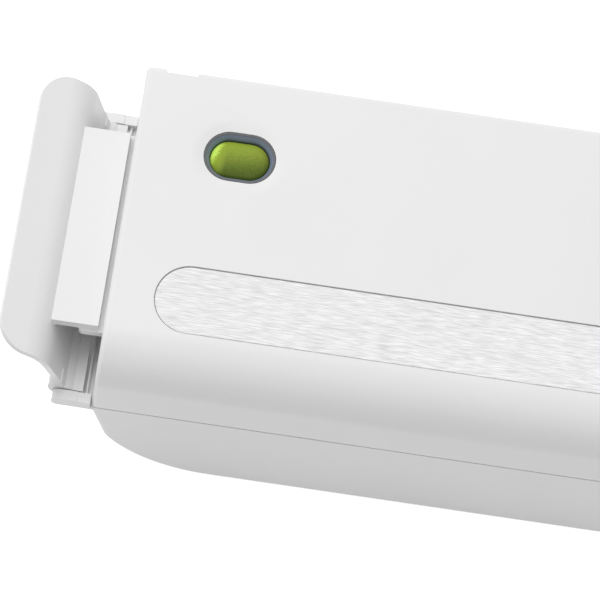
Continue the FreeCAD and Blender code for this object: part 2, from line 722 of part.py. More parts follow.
def screw(name, head_radius, head_height, radius, length, seat, upward_from, frame=None):
    """A pan head below its seat and a shank that rises from it."""
    x, y = seat
    head = rod(f"{name}_head", head_radius, (x, y, upward_from - head_height), head_height, "z", frame)
    shank = rod(f"{name}_shank", radius, (x, y, upward_from - head_height / 2),
                length + head_height / 2, "z", frame)
    return join(name, [head, shank])


def control_screws():
    seat = board_back - d["board_thickness"]
    length = d["small_screw_length"] + d["board_thickness"] - d["fit_gap"]
    return gather("control_screws", [
        screw(f"control_screw_{name}", d["small_head_radius"], d["small_head_height"],
              d["small_screw_radius"], length, (x, y), seat, button_frame)
        for name, x, y in control_spots
    ])


# Lid liner with its gasket and press strip
def lid_liner():
    side = end_top - d["lid_wall"] - d["fit_gap"]
    low = (-side, y_front + d["lid_wall"] + d["fit_gap"], liner_under)
    high = (side, y_rear - d["lid_wall"] - d["fit_gap"], liner_top)
    plate = block("liner_plate", low, high)
    pegs = [
        rod(f"switch_peg_{end}", d["peg_radius"], (x, peg_y, z_rim - d["peg_drop"]),
            d["peg_drop"] + d["liner_height"] + d["liner_thickness"] / 2)
        for end, x in both_sides(peg_x)
    ]
    groove = ring("liner_gasket_groove", *gasket_span(size_of(0), liner_under - OVERSHOOT,
                  liner_under + d["liner_groove"]), d["gasket_width"], d["gasket_corner"])
    channel = block("liner_press_groove", *press_span(d["gasket_side_play"], liner_under - OVERSHOOT,
                    liner_under + d["liner_groove"]))
    holes = [
        rod(f"liner_hole_{name}", screw_hole, (x, y_front + back, liner_under - OVERSHOOT),
            d["liner_thickness"] + OVERSHOOT * 2)
        for name, x, back in liner_spots
    ]
    return cut("lid_liner", join("liner_solid", [plate] + pegs), [groove, channel] + holes)


def press_span(play, low_z, high_z):
    """Corners of the press strip, or of its groove with play added."""
    middle = y_front + d["seal_front"] + d["seal_width"] / 2
    half_width = d["press_width"] / 2 + play
    half = d["seal_length"] / 2 + play
    return (-half, middle - half_width, low_z), (half, middle + half_width, high_z)


seal_top = deck_top - d["seal_groove"] + d["seal_bar_height"]
tape_top = seal_top + d["heater_thickness"] + d["tape_thickness"]
gasket_top = deck_top - d["gasket_groove"] + d["gasket_height"]


def press_strip():
    return block("press_strip", *press_span(size_of(0), tape_top + d["press_gap"],
                 liner_under + d["liner_groove"]))


def upper_gasket():
    span = gasket_span(d["gasket_side_play"], gasket_top + d["gasket_gap"], liner_under + d["liner_groove"])
    return ring("upper_gasket", *span, d["gasket_width"] - d["gasket_side_play"] * 2, d["gasket_corner"])


def liner_screws():
    length = d["liner_screw_length"] + d["liner_thickness"] - d["fit_gap"]
    return gather("liner_screws", [
        screw(f"liner_screw_{name}", d["screw_head_radius"], d["screw_head_height"], d["screw_radius"],
              length, (x, y_front + back), liner_under)
        for name, x, back in liner_spots
    ])


# Base casing
def tub_form(name, shift, top, low, half_depth, edge_radius):
    """The tub's outside, or its hollow when moved in: ends that lean in and roll under to a flat bottom."""
    bilge_z = z_rim - d["end_drop"]
    rim_x = base_half - shift + end_slope * (top - z_rim)
    bilge_x = base_half - shift - d["end_inset"]
    keel_drop = bilge_z - low
    keel_run = d["keel_run"] * keel_drop / (bilge_z - z_bottom)
    keel_x = bilge_x - keel_run
    outline = [(-rim_x, top), (rim_x, top), (bilge_x, bilge_z), (keel_x, low), (-keel_x, low),
               (-bilge_x, bilge_z)]
    keel_side = keel_run / cosine(arctangent(keel_drop / keel_run))
    keel_radius = keel_side * ROUND_SHARE * keel_drop / (keel_side - keel_run)

    def end_corner(x, z):
        def chosen(edge):
            box = edge.BoundBox
            across = box.XLength < NEAR and box.ZLength < NEAR
            return across and abs(abs(box.XMin) - x.value) < NEAR and abs(box.ZMin - z.value) < NEAR
        return chosen

    def side_edge(edge):
        box = edge.BoundBox
        on_side = abs(abs(box.YMin) - half_depth.value) < NEAR and box.YLength < NEAR
        return on_side and box.ZMin < top.value - NEAR

    middle_y = y_front + d["lid_depth"] / 2
    return prism(name, "XZ", outline, half_depth * 2, (0, middle_y, 0), True, [
        (end_corner(keel_x, low), keel_radius), (end_corner(bilge_x, bilge_z), d["bilge_radius"]),
        (side_edge, edge_radius),
    ])


def base_forms():
    wall = d["base_wall"]
    half_depth = d["lid_depth"] / 2
    outer = tub_form("base_outer", size_of(0), z_rim, z_bottom, half_depth, d["base_edge_radius"])
    inner = tub_form("base_hollow", wall, z_rim + wall, z_inside, half_depth - wall, d["base_inner_radius"])
    return outer, inner


def latch_arms():
    """The two arms at the right end that carry the latch lever's pin."""
    arms = []
    low = pivot_z - d["arm_radius"]
    high = pivot_z + d["arm_radius"]
    step_x = half_length + d["arm_step_out"]
    tip_x = pivot_x + d["arm_reach"]
    root_x = base_half - d["end_inset"]
    beside_lid = half_length + d["lid_side_gap"]
    outline = [(step_x, low), (tip_x, low), (tip_x, high), (step_x, high)]
    rounds = [(edge_at(x=tip_x, z=level), d["arm_corner_radius"]) for level in (low, high)]
    for row, start in (("front", y_front), ("rear", y_rear - d["arm_thickness"])):
        end = start + d["arm_thickness"]
        head = prism(f"arm_head_{row}", "XZ", outline, d["arm_thickness"],
                     (0, start + d["arm_thickness"] / 2, 0), True, rounds)
        neck = block(f"arm_neck_{row}", (beside_lid, start, low), (step_x, end, high - d["arm_step_drop"]))
        root = block(f"arm_root_{row}", (root_x, start, low), (beside_lid, end, z_rim - d["arm_step_drop"]))
        arms.append(join(f"latch_arm_{row}", [head, neck, root]))
    return arms


def latch_shelf():
    """The shelf under the latch lever at the right end, with a ledge and a kerb beside the lid."""
    top = pivot_z - d["ear_radius"] - d["shelf_gap"]
    low = top - d["shelf_thickness"]
    root_x = base_half - d["end_inset"]
    plate = block("shelf_plate", (root_x, lever_front, low), (pivot_x + d["shelf_out"], y_rear, top))
    kerb_x = half_length + d["kerb_out"]
    kerb = block("shelf_kerb", (kerb_x, lever_front, low),
                 (kerb_x + d["kerb_width"], y_rear, z_rim + d["kerb_rise"]))
    ledge = block("shelf_ledge", (root_x, lever_front, low), (kerb_x, y_rear, z_rim - d["arm_step_drop"]))
    return join("latch_shelf", [plate, kerb, ledge])


def latch_bore(name, radius):
    """The way of the latch pin from the rear, closed by the front arm's outer skin."""
    return rod(name, radius, (pivot_x, y_front + d["pin_cover"], pivot_z),
               d["lid_depth"] - d["pin_cover"] + OVERSHOOT, "y")


def base_posts():
    """Posts for the deck screws, shelves for the lid switches and pillars for the power board."""
    post_top = deck_under - d["boss_length"]
    posts = [rod(f"deck_post_{name}", d["post_radius"], (x, y, z_bottom), post_top - z_bottom)
             for name, x, y in post_spots]
    half_long = d["switch_length"] / 2
    half_wide = d["switch_width"] / 2
    for side, x in both_sides(peg_x):
        posts.append(block(f"switch_shelf_{side}", (x - half_wide, peg_y - half_long, z_bottom),
                           (x + half_wide, peg_y + half_long, switch_under)))
    for name, x, y in power_spots:
        posts.append(rod(f"power_post_{name}", d["power_post_radius"], (x, y, z_bottom),
                         power_under - z_bottom))
    return posts


switch_under = z_rim - d["peg_drop"] - d["switch_gap"] - d["switch_plunger_height"] - d["switch_height"]
power_y = y_rear - d["power_back"]
power_spots = [
    (f"{row}_{side}", d["power_x"] + x, power_y + y)
    for row, y in (("front", d["power_post_inset"] - d["power_width"] / 2),
                   ("rear", d["power_width"] / 2 - d["power_post_inset"]))
    for side, x in both_sides(d["power_length"] / 2 - d["power_post_inset"])
]


def base_cutters():
    """Screw wells, foot holes, vents, inlet opening and pin bores of the base casing."""
    tools = []
    post_top = deck_under - d["boss_length"]
    well_top = post_top - d["screw_seat"]
    for name, x, y in post_spots:
        tools.append(rod(f"screw_well_{name}", d["screw_head_radius"] + d["fit_gap"],
                         (x, y, z_bottom - OVERSHOOT), well_top - z_bottom + OVERSHOOT))
        tools.append(rod(f"screw_way_{name}", screw_hole, (x, y, well_top - OVERSHOOT),
                         d["screw_seat"] + OVERSHOOT * 2))
    for name, x, y in foot_spots:
        tools.append(rod(f"foot_hole_{name}", d["foot_stem_radius"] + d["screw_clearance"],
                         (x, y, z_bottom - OVERSHOOT), d["base_wall"] + OVERSHOOT * 2))
    for name, x, y in power_spots:
        tools.append(rod(f"power_pilot_{name}", small_hole, (x, y, power_under - d["small_screw_length"]),
                         d["small_screw_length"] + OVERSHOOT))
    half_width = d["inlet_width"] / 2 + d["fit_gap"]
    half_height = d["inlet_height"] / 2 + d["fit_gap"]
    wall_inside = y_rear - d["base_wall"] - OVERSHOOT
    wall_outside = y_rear + OVERSHOOT
    tools.append(block("inlet_opening",
                       (d["inlet_x"] - half_width, wall_inside, d["inlet_z"] - half_height),
                       (d["inlet_x"] + half_width, wall_outside, d["inlet_z"] + half_height)))
    for number in range(VENT_COUNT):
        x = d["vent_x"] + d["vent_pitch"] * number
        tools.append(block(f"vent_{number}", (x, wall_inside, d["vent_z"]),
                           (x + d["vent_width"], wall_outside, d["vent_z"] + d["vent_height"])))
    bore = latch_bore("arm_bore", d["latch_pin_radius"] + d["pin_clearance"])
    tools += [bore, mirrored("arm_bore_left", bore)]
    return tools + hinge_bores("base_hinge_bore", d["hinge_pin_radius"] + d["pin_clearance"])


def base_shell():
    outside, hollow = base_forms()
    right_end = latch_arms() + [latch_shelf()]
    left_end = [mirrored(f"{piece.Name}_left", piece) for piece in right_end]
    full = join("base_full", [outside] + right_end + left_end + base_knuckles())
    posts = within("base_posts", outside, base_posts())
    solid = join("base_solid", [cut("base_blank", full, [hollow]), posts])
    return cut("base_shell", solid, base_cutters())


def rubber_feet():
    feet = []
    for name, x, y in foot_spots:
        pad = rod(f"foot_pad_{name}", d["foot_radius"], (x, y, 0), d["foot_height"])
        stem = rod(f"foot_stem_{name}", d["foot_stem_radius"], (x, y, d["foot_height"] / 2),
                   d["foot_stem_length"] + d["foot_height"] / 2)
        feet.append(join(f"foot_{name}", [pad, stem]))
    return gather("rubber_feet", feet)


# Deck with the vacuum trough
def base_deck():
    side = base_half - d["base_wall"] - end_slope * (d["deck_drop"] + d["deck_thickness"]) - d["fit_gap"]
    low_y = y_front + d["base_wall"] + d["fit_gap"]
    high_y = y_rear - d["base_wall"] - d["fit_gap"]
    plate = rounded_block("deck_plate", (-side, low_y, deck_under), (side, high_y, deck_top),
                          d["deck_corner"])
    bosses = [rod(f"deck_boss_{name}", d["boss_radius"], (x, y, deck_under - d["boss_length"]),
                  d["boss_length"] + d["deck_thickness"] / 2) for name, x, y in post_spots]
    opening = rounded_block("trough_opening", trough_low, trough_high, d["trough_corner"])
    groove = ring("deck_gasket_groove", *gasket_span(size_of(0), deck_top - d["gasket_groove"],
                  deck_top + OVERSHOOT), d["gasket_width"], d["gasket_corner"])
    channel = block("deck_seal_groove", *seal_span(size_of(0), deck_top - d["seal_groove"],
                    deck_top + OVERSHOOT))
    tools = [opening, groove, channel]
    for name, x, y in post_spots:
        tools.append(rod(f"deck_pilot_{name}", screw_hole, (x, y, deck_under - d["boss_length"] - OVERSHOOT),
                         d["deck_screw_bite"] + OVERSHOOT))
    for side_name, x in both_sides(peg_x):
        tools.append(rod(f"peg_hole_{side_name}", d["peg_radius"] + d["peg_hole_play"],
                         (x, peg_y, deck_under - OVERSHOOT),
                         d["deck_thickness"] + OVERSHOOT * 2))
    return cut("base_deck", join("deck_solid", [plate] + bosses), tools)


def vacuum_basin():
    """The basin that is welded under the deck's opening, with holes for the port and the valve."""
    wall = d["basin_wall"]
    outside = block("basin_outside", (trough_low[0] - wall, trough_low[1] - wall, trough_low[2] - wall),
                    (trough_high[0] + wall, trough_high[1] + wall, deck_under))
    hollow = rounded_block("basin_hollow", trough_low, trough_high, d["trough_corner"])
    tools = [hollow]
    ways = (("port", d["port_x"], d["port_radius"]), ("valve", valve_x, d["valve_port_radius"]))
    for name, x, radius in ways:
        start = (x, trough_high[1] - OVERSHOOT, port_z)
        tools.append(rod(f"{name}_hole", radius + d["screw_clearance"], start, wall + OVERSHOOT * 2, "y"))
    return cut("vacuum_basin", outside, tools)


def seal_span(play, low_z, high_z):
    """Corners of the heat seal bar, or of its channel when there is no play."""
    low = (play - d["seal_length"] / 2, y_front + d["seal_front"] + play, low_z)
    high = (-low[0], y_front + d["seal_front"] + d["seal_width"] - play, high_z)
    return low, high


def strip_on_bar(name, width, length, low, thickness):
    """A flat strip centred along the heat seal bar."""
    middle = y_front + d["seal_front"] + d["seal_width"] / 2
    high = (length / 2, middle + width / 2, low + thickness)
    return block(name, (-length / 2, middle - width / 2, low), high)


def lower_gasket():
    span = gasket_span(d["gasket_side_play"], deck_top - d["gasket_groove"], gasket_top)
    return ring("lower_gasket", *span, d["gasket_width"] - d["gasket_side_play"] * 2, d["gasket_corner"])


def seal_bar():
    return block("seal_bar", *seal_span(d["gasket_side_play"], deck_top - d["seal_groove"], seal_top))


def heating_strip():
    return strip_on_bar("heating_strip", d["heater_width"], d["heater_length"], seal_top,
                        d["heater_thickness"])


def nonstick_tape():
    return strip_on_bar("nonstick_tape", d["tape_width"], d["heater_length"],
                        seal_top + d["heater_thickness"], d["tape_thickness"])


def deck_screws():
    seat = deck_under - d["boss_length"] - d["screw_seat"]
    length = d["screw_seat"] + d["deck_screw_bite"] - d["fit_gap"]
    return gather("deck_screws", [
        screw(f"deck_screw_{name}", d["screw_head_radius"], d["screw_head_height"], d["screw_radius"],
              length, (x, y), seat)
        for name, x, y in post_spots
    ])


def lid_switches():
    switches = []
    top = switch_under + d["switch_height"]
    half_long = d["switch_length"] / 2
    half_wide = d["switch_width"] / 2
    for side, x in both_sides(peg_x):
        case = block(f"switch_case_{side}", (x - half_wide, peg_y - half_long, switch_under),
                     (x + half_wide, peg_y + half_long, top))
        plunger = rod(f"switch_plunger_{side}", d["switch_plunger_radius"], (x, peg_y, top - OVERSHOOT),
                      d["switch_plunger_height"] + OVERSHOOT)
        switches.append(join(f"lid_switch_{side}", [case, plunger]))
    return gather("lid_switches", switches)


# Vacuum port, hose, pump and release valve
hose_y = y_rear - d["pump_back"]
pump_low = z_inside + d["bracket_thickness"]
pump_cap_low = port_z - d["pump_cap_height"] / 2
pump_body_top = pump_cap_low - d["diaphragm_thickness"]
chamber_radius = d["crank_radius"] + d["crank_throw"] + d["chamber_clearance"]
motor_x = d["pump_x"] + d["pump_length"]
motor_z = pump_body_top - d["chamber_roof"] - chamber_radius
pump_front = hose_y - d["pump_width"] / 2
pump_rear = hose_y + d["pump_width"] / 2


def vacuum_port():
    inside = trough_high[1]
    flange = rod("port_flange_disc", d["port_flange_radius"],
                 (d["port_x"], inside - d["port_flange"], port_z), d["port_flange"], "y")
    spout = rod("port_spout", d["port_radius"], (d["port_x"], inside - d["port_flange"] / 2, port_z),
                d["port_length"] + d["basin_wall"], "y")
    bore = rod("port_bore", d["port_bore"], (d["port_x"], inside - d["port_flange"] - OVERSHOOT, port_z),
               d["port_flange"] + d["port_length"] + d["basin_wall"] + OVERSHOOT * 2, "y")
    return cut("vacuum_port", join("port_solid", [flange, spout]), [bore])


def hose_run(name, radius):
    """The hose's path at one radius: back from the trough, round a quarter bend, along to the pump."""
    bend = d["hose_bend"]
    back = rod(f"{name}_back", radius, (d["port_x"], basin_rear, port_z), hose_y - bend - basin_rear, "y")
    turn = doc.addObject("Part::Torus", f"{name}_turn")
    turn.setExpression("Radius1", bend.formula)
    turn.setExpression("Radius2", radius.formula)
    place(turn, (d["port_x"] + bend, hose_y - bend, port_z))
    corner = block(f"{name}_corner", (d["port_x"] - radius, hose_y - bend, port_z - radius),
                   (d["port_x"] + bend, hose_y + radius, port_z + radius))
    quarter = within(f"{name}_quarter", corner, [turn])
    along = rod(f"{name}_along", radius, (d["port_x"] + bend, hose_y, port_z),
                d["pump_x"] - d["port_x"] - bend, "x")
    return join(name, [back, quarter, along])


def vacuum_hose():
    outside = hose_run("hose_outside", d["hose_radius"])
    inside = hose_run("hose_inside", d["port_radius"] + d["hose_play"])
    return cut("vacuum_hose", outside, [inside])


def pump_bracket():
    flange = d["bracket_flange"]
    return block("pump_bracket", (d["pump_x"], pump_front - flange, z_inside),
                 (motor_x, pump_rear, pump_low))


def pump_head():
    body = block("pump_block", (d["pump_x"], pump_front, pump_low), (motor_x, pump_rear, pump_body_top))
    chamber = rod("pump_chamber", chamber_radius, (motor_x - d["chamber_depth"], hose_y, motor_z),
                  d["chamber_depth"] + OVERSHOOT, "x")
    well = rod("pump_well", d["pump_bore"], (motor_x - d["chamber_depth"] / 2, hose_y, motor_z),
               pump_body_top - motor_z + OVERSHOOT)
    return cut("pump_head", body, [join("pump_hollow", [chamber, well])])


def pump_diaphragm():
    return block("pump_diaphragm", (d["pump_x"], pump_front, pump_body_top),
                 (motor_x, pump_rear, pump_cap_low))


def pump_valve_cap():
    top = pump_cap_low + d["pump_cap_height"]
    body = block("valve_cap_block", (d["pump_x"], pump_front, pump_cap_low), (motor_x, pump_rear, top))
    nipple_x = d["pump_x"] - d["nipple_length"]
    nipple = rod("pump_nipple", d["port_radius"], (nipple_x, hose_y, port_z),
                 d["nipple_length"] + OVERSHOOT, "x")
    bore = rod("pump_nipple_bore", d["port_bore"], (nipple_x - OVERSHOOT, hose_y, port_z),
               d["nipple_length"] + d["pump_length"] / 2, "x")
    return cut("pump_valve_cap", join("valve_cap_solid", [body, nipple]), [bore])


def pump_motor():
    can = rod("motor_can", d["motor_radius"], (motor_x, hose_y, motor_z), d["motor_length"], "x")
    bore = rod("motor_bore", d["shaft_radius"] + d["pin_clearance"], (motor_x - OVERSHOOT, hose_y, motor_z),
               d["shaft_bore_depth"] + OVERSHOOT, "x")
    return cut("pump_motor", can, [bore])


def pump_rotor():
    """The motor's shaft with the crank that works the diaphragm."""
    crank_end = motor_x - d["crank_side_gap"]
    shaft_start = crank_end - d["crank_width"]
    shaft_end = motor_x + d["shaft_bore_depth"] - d["shaft_end_gap"]
    shaft = rod("motor_shaft", d["shaft_radius"], (shaft_start, hose_y, motor_z),
                shaft_end - shaft_start, "x")
    crank = rod("crank_disc", d["crank_radius"], (shaft_start, hose_y, motor_z + d["crank_throw"]),
                d["crank_width"], "x")
    return join("pump_rotor", [shaft, crank])


def release_valve():
    half = d["valve_width"] / 2
    low = port_z - d["valve_height"] / 2
    body = block("valve_body", (valve_x - half, basin_rear, low),
                 (valve_x + half, basin_rear + d["valve_length"], low + d["valve_height"]))
    spout = rod("valve_spout", d["valve_port_radius"], (valve_x, trough_high[1], port_z),
                d["basin_wall"] + OVERSHOOT, "y")
    return join("release_valve", [body, spout])


# Transformer and power board
def transformer_core():
    leg = d["core_leg"]
    half_x = leg * 3
    y = y_rear - d["core_back"]
    half_y = d["core_stack"] / 2
    top = z_inside + d["core_window"] + leg * 2
    stack = block("core_stack_block", (d["core_x"] - half_x, y - half_y, z_inside),
                  (d["core_x"] + half_x, y + half_y, top))
    windows = [
        block(f"core_window_{side}", (d["core_x"] + x - leg / 2, y - half_y - OVERSHOOT, z_inside + leg),
              (d["core_x"] + x + leg / 2, y + half_y + OVERSHOOT, top - leg))
        for side, x in both_sides(leg * 1.5)
    ]
    return cut("transformer_core", stack, windows)


def transformer_coil():
    leg = d["core_leg"]
    gap = d["coil_gap"]
    y = y_rear - d["core_back"]
    inner_x = leg + gap
    inner_y = d["core_stack"] / 2 + gap
    outer_x = leg + d["coil_build"]
    outer_y = d["core_stack"] / 2 + d["coil_build"]
    low = z_inside + leg
    high = low + d["core_window"] - gap
    outside = block("coil_outside", (d["core_x"] - outer_x, y - outer_y, low),
                    (d["core_x"] + outer_x, y + outer_y, high))
    inside = block("coil_inside", (d["core_x"] - inner_x, y - inner_y, low - OVERSHOOT),
                   (d["core_x"] + inner_x, y + inner_y, high + OVERSHOOT))
    return cut("transformer_coil", outside, [inside])


power_top = power_under + d["board_thickness"]


def power_board():
    half_x = d["power_length"] / 2
    half_y = d["power_width"] / 2
    y = power_y
    plate = block("power_plate", (d["power_x"] - half_x, y - half_y, power_under),
                  (d["power_x"] + half_x, y + half_y, power_top))
    holes = [rod(f"power_hole_{name}", small_hole, (x, spot, power_under - OVERSHOOT),
                 d["board_thickness"] + OVERSHOOT * 2) for name, x, spot in power_spots]
    return cut("power_board", plate, holes)


def power_screws():
    screws = []
    for name, x, y in power_spots:
        head = rod(f"power_head_{name}", d["small_head_radius"], (x, y, power_top), d["small_head_height"])
        depth = d["board_thickness"] + d["small_screw_length"] - d["fit_gap"]
        shank = rod(f"power_shank_{name}", d["small_screw_radius"], (x, y, power_top - depth),
                    depth + d["small_head_height"] / 2)
        screws.append(join(f"power_screw_{name}", [head, shank]))
    return gather("power_screws", screws)


def board_components():
    """Relay, capacitor, two plug headers and a fuse standing on the power board."""
    x = d["power_x"]
    y = power_y
    relay = block("relay", (x - d["relay_length"], y - d["relay_width"] / 2, power_top),
                  (x, y + d["relay_width"] / 2, power_top + d["relay_height"]))
    can = rod("capacitor", d["capacitor_radius"], (x + d["relay_length"] / 2, y, power_top),
              d["capacitor_height"])
    header_x = x + d["relay_length"]
    header_top = power_top + d["plug_height"]
    headers = [
        block(f"header_{row}", (header_x, start, power_top),
              (header_x + d["plug_width"], start + d["plug_length"], header_top))
        for row, start in (("front", y - d["plug_length"] - d["fit_gap"]), ("rear", y + d["fit_gap"]))
    ]
    fuse_y = y + d["relay_width"] / 2 + d["fuse_gap"] + d["fuse_radius"]
    fuse = rod("fuse", d["fuse_radius"], (x - d["fuse_length"], fuse_y, power_top + d["fuse_radius"]),
               d["fuse_length"], "x")
    return gather("board_components", [relay, can] + headers + [fuse])


# Mains inlet
def power_inlet():
    x = d["inlet_x"]
    z = d["inlet_z"]
    half_width = d["inlet_width"] / 2
    half_height = d["inlet_height"] / 2
    front = y_rear - d["inlet_depth"]
    body = block("inlet_body", (x - half_width, front, z - half_height),
                 (x + half_width, y_rear, z + half_height))
    flange_rear = y_rear - d["base_wall"]
    flange_x = half_width + d["inlet_flange"]
    flange_z = half_height + d["inlet_flange"]
    flange = block("inlet_flange_plate",
                   (x - flange_x, flange_rear - d["inlet_flange_thickness"], z - flange_z),
                   (x + flange_x, flange_rear, z + flange_z))
    start = y_rear - d["socket_depth"]
    length = d["socket_depth"] + OVERSHOOT
    half = d["socket_straight"] / 2
    ends = [rod(f"socket_{side}", d["socket_radius"], (x + step, start, z), length, "y")
            for side, step in both_sides(half)]
    middle = block("socket_middle", (x - half, start, z - d["socket_radius"]),
                   (x + half, y_rear + OVERSHOOT, z + d["socket_radius"]))
    return cut("power_inlet", join("inlet_solid", [body, flange]), [join("socket", ends + [middle])])


def inlet_pins():
    start = y_rear - d["socket_depth"]
    return gather("inlet_pins", [
        rod(f"inlet_pin_{side}", d["inlet_pin_radius"], (d["inlet_x"] + step, start, d["inlet_z"]),
            d["inlet_pin_length"], "y")
        for side, step in both_sides(d["socket_straight"] / 2)
    ])


# Side latches
def lever_points():
    """Foot, bend and tip of the lever's inner face, then of its outer face."""
    lean = d["lever_wall_lean"]
    slope = d["lever_lip_slope"]
    wall_way = (sine(lean), cosine(lean))
    lip_way = (cosine(slope), sine(slope))
    wall_out = (cosine(lean), -sine(lean))
    lip_out = (sine(slope), -cosine(slope))
    overlap = wall_out[0] * lip_out[0] + wall_out[1] * lip_out[1] + 1
    thickness = d["lever_thickness"]
    foot = (pivot_x + d["lever_foot_out"], pivot_z + d["lever_foot_up"])
    bend = (foot[0] + wall_way[0] * d["lever_wall_run"], foot[1] + wall_way[1] * d["lever_wall_run"])
    tip = (bend[0] + lip_way[0] * d["lever_lip_run"], bend[1] + lip_way[1] * d["lever_lip_run"])
    outer_foot = tuple(at + way * thickness for at, way in zip(foot, wall_out))
    outer_tip = tuple(at + way * thickness for at, way in zip(tip, lip_out))
    outer_bend = tuple(at + (a + b) / overlap * thickness for at, a, b in zip(bend, wall_out, lip_out))
    return foot, bend, tip, outer_tip, outer_bend, outer_foot


def lever_sheet():
    """The bent sheet that the hand pulls: its wall fits between the arms and widens towards its lip."""
    foot, bend, tip, outer_tip, outer_bend, outer_foot = lever_points()
    width = lever_rear - lever_front + d["lip_flare"] * 2
    middle = (lever_front + lever_rear) / 2
    sheet_body = prism("lever_sheet", "XZ", [foot, bend, tip, outer_tip, outer_bend, outer_foot], width,
                       (0, middle, 0), True, [
                           (edge_at(x=bend[0], z=bend[1]), d["lever_bend_radius"]),
                           (edge_at(x=outer_bend[0], z=outer_bend[1]),
                            d["lever_bend_radius"] - d["lever_thickness"]),
                       ])
    trims = []
    for row, y, inward in (("front", lever_front, 1), ("rear", lever_rear, -1)):
        end = y - d["lip_flare"] * inward
        trims.append(lever_corner(f"lever_corner_{row}", end, inward, tip))
        trims.append(lever_flank(f"lever_flank_{row}", y, end, inward, foot))
    return cut("lever_sheet_trimmed", sheet_body, trims)


def lever_flank(name, y, end, inward, foot):
    """What is taken off one end of the wall, so that it widens from the arms to the lip."""
    beyond = end - OVERSHOOT * inward
    low = foot[1] - d["lever_thickness"]
    high = foot[1] + d["flare_high"]
    points = [(y, low), (y, foot[1] + d["flare_low"]), (end, high), (beyond, high), (beyond, low)]
    return prism(name, "YZ", points, d["lever_wall_run"] * 2, (pivot_x, 0, 0), True)


def lever_corner(name, y, inward, tip):
    """What is taken off to round one outer corner of the lip, square to the lip."""
    radius = d["lever_corner_radius"]
    reach = d["lever_lip_run"]
    low_y, high_y = sorted((size_of(-inward * OVERSHOOT), radius * inward), key=lambda size: size.value)
    corner = block(f"{name}_block", (-radius, low_y, -reach), (size_of(OVERSHOOT), high_y, reach))
    post = rod(f"{name}_post", radius, (-radius, radius * inward, -reach - OVERSHOOT),
               (reach + OVERSHOOT) * 2)
    tool = cut(name, corner, [post])
    slope = d["lever_lip_slope"]
    tilt = FreeCAD.Rotation(FreeCAD.Vector(0, -1, 0), slope.value)
    tool.Placement = FreeCAD.Placement(FreeCAD.Vector(), tilt)
    tool.setExpression(".Placement.Rotation.Angle", slope.formula)
    return place(tool, (tip[0], y, tip[1]))


def lever_hook():
    """The hook bar on the lever's inner side with its nose and the ribs that carry it."""
    low = z_rim + d["bar_low"]
    high = z_rim + d["bar_high"]
    near = half_length + d["bar_near"]
    far = half_length + d["bar_far"]
    root = d["bar_root"]
    start = y_front + d["bar_front"]
    length = d["lid_depth"] - d["bar_front"] - d["bar_back"]
    middle = start + length / 2
    bar_outline = [(near, low), (near, high), (far, high), (far, low - root), (far - root, low)]
    bar = prism("hook_bar", "XZ", bar_outline, length, (0, middle, 0), True)
    nose_low = d["bar_low"] - d["nose_thickness"]
    nose_start = end_top + d["nose_near"]
    nose_reach = half_length + d["nose_far"] - nose_start
    nose_length = d["lid_depth"] - d["nose_front"] - d["nose_back"]
    nose_outline = [(0, 0), (nose_reach, 0), (nose_reach, nose_length), (0, nose_length)]

    def outer_corner(edge):
        return upright(edge) and edge.BoundBox.XMin > nose_reach.value - NEAR

    nose = prism("hook_nose", "XY", nose_outline, d["nose_thickness"],
                 (nose_start, y_front + d["nose_front"], z_rim + nose_low),
                 rounds=[(outer_corner, d["nose_corner_radius"])])
    foot, bend = lever_points()[:2]
    rib_outline = [(half_length + d["nose_far"], low), (bend[0], low), foot]
    ribs = [
        prism(f"hook_rib_{number}", "XZ", rib_outline, d["rib_thickness"],
              (0, middle + d["rib_pitch"] * step, 0), True)
        for number, step in enumerate((-1, 0, 1))
    ]
    return [bar, nose] + ribs


def lever_ears():
    """The rounded ends of the lever's foot, outward of its pin."""
    ears = []
    radius = d["ear_radius"]
    ear_z = pivot_z + d["ear_rise"]
    for row, start in (("front", lever_front), ("rear", lever_rear - d["ear_width"])):
        disc = rod(f"ear_disc_{row}", radius, (pivot_x, start, ear_z), d["ear_width"], "y")
        room = block(f"ear_room_{row}", (pivot_x + d["latch_pin_radius"], start, ear_z - radius),
                     (pivot_x + radius, start + d["ear_width"], ear_z + radius))
        ears.append(within(f"lever_ear_{row}", room, [disc]))
    return ears


def latch_lever():
    width = lever_rear - lever_front
    barrel = rod("lever_barrel", d["barrel_radius"], (pivot_x, lever_front, pivot_z), width, "y")
    toe_low = pivot_z + d["toe_low"]
    toe = block("lever_toe", (pivot_x - d["toe_reach"], lever_front, toe_low),
                (pivot_x, lever_rear, toe_low + d["toe_thickness"]))
    solid = join("lever_solid", [lever_sheet(), barrel, toe] + lever_ears() + lever_hook())
    bore = latch_bore("lever_bore", d["latch_pin_radius"] + d["pin_clearance"])
    return cut("latch_lever_right", solid, [bore])


def latch_pin():
    return rod("latch_pin_right", d["latch_pin_radius"], (pivot_x, y_front + d["pin_cover"], pivot_z),
               d["lid_depth"] - d["pin_cover"] - d["latch_pin_inset"], "y")


# The whole object
right_lever = latch_lever()
right_pin = latch_pin()
nodes = [
    base_shell(), base_deck(), vacuum_basin(), rubber_feet(), lower_gasket(), seal_bar(), heating_strip(),
    nonstick_tape(), deck_screws(), lid_switches(), vacuum_port(), vacuum_hose(), pump_bracket(), pump_head(),
    pump_diaphragm(), pump_valve_cap(), pump_motor(), pump_rotor(), release_valve(), transformer_core(),
    transformer_coil(), power_board(), power_screws(), board_components(), power_inlet(), inlet_pins(),
    hinge_pins(), right_pin, mirrored("latch_pin_left", right_pin),
    lid_shell(), lid_liner(), liner_screws(), upper_gasket(), press_strip(), trim_strip(), button_bezel(),
    control_board(), control_screws(), tact_switch(), status_led(), button_spring(), button_cap(),
    right_lever, mirrored("latch_lever_left", right_lever),
]
doc.recompute()

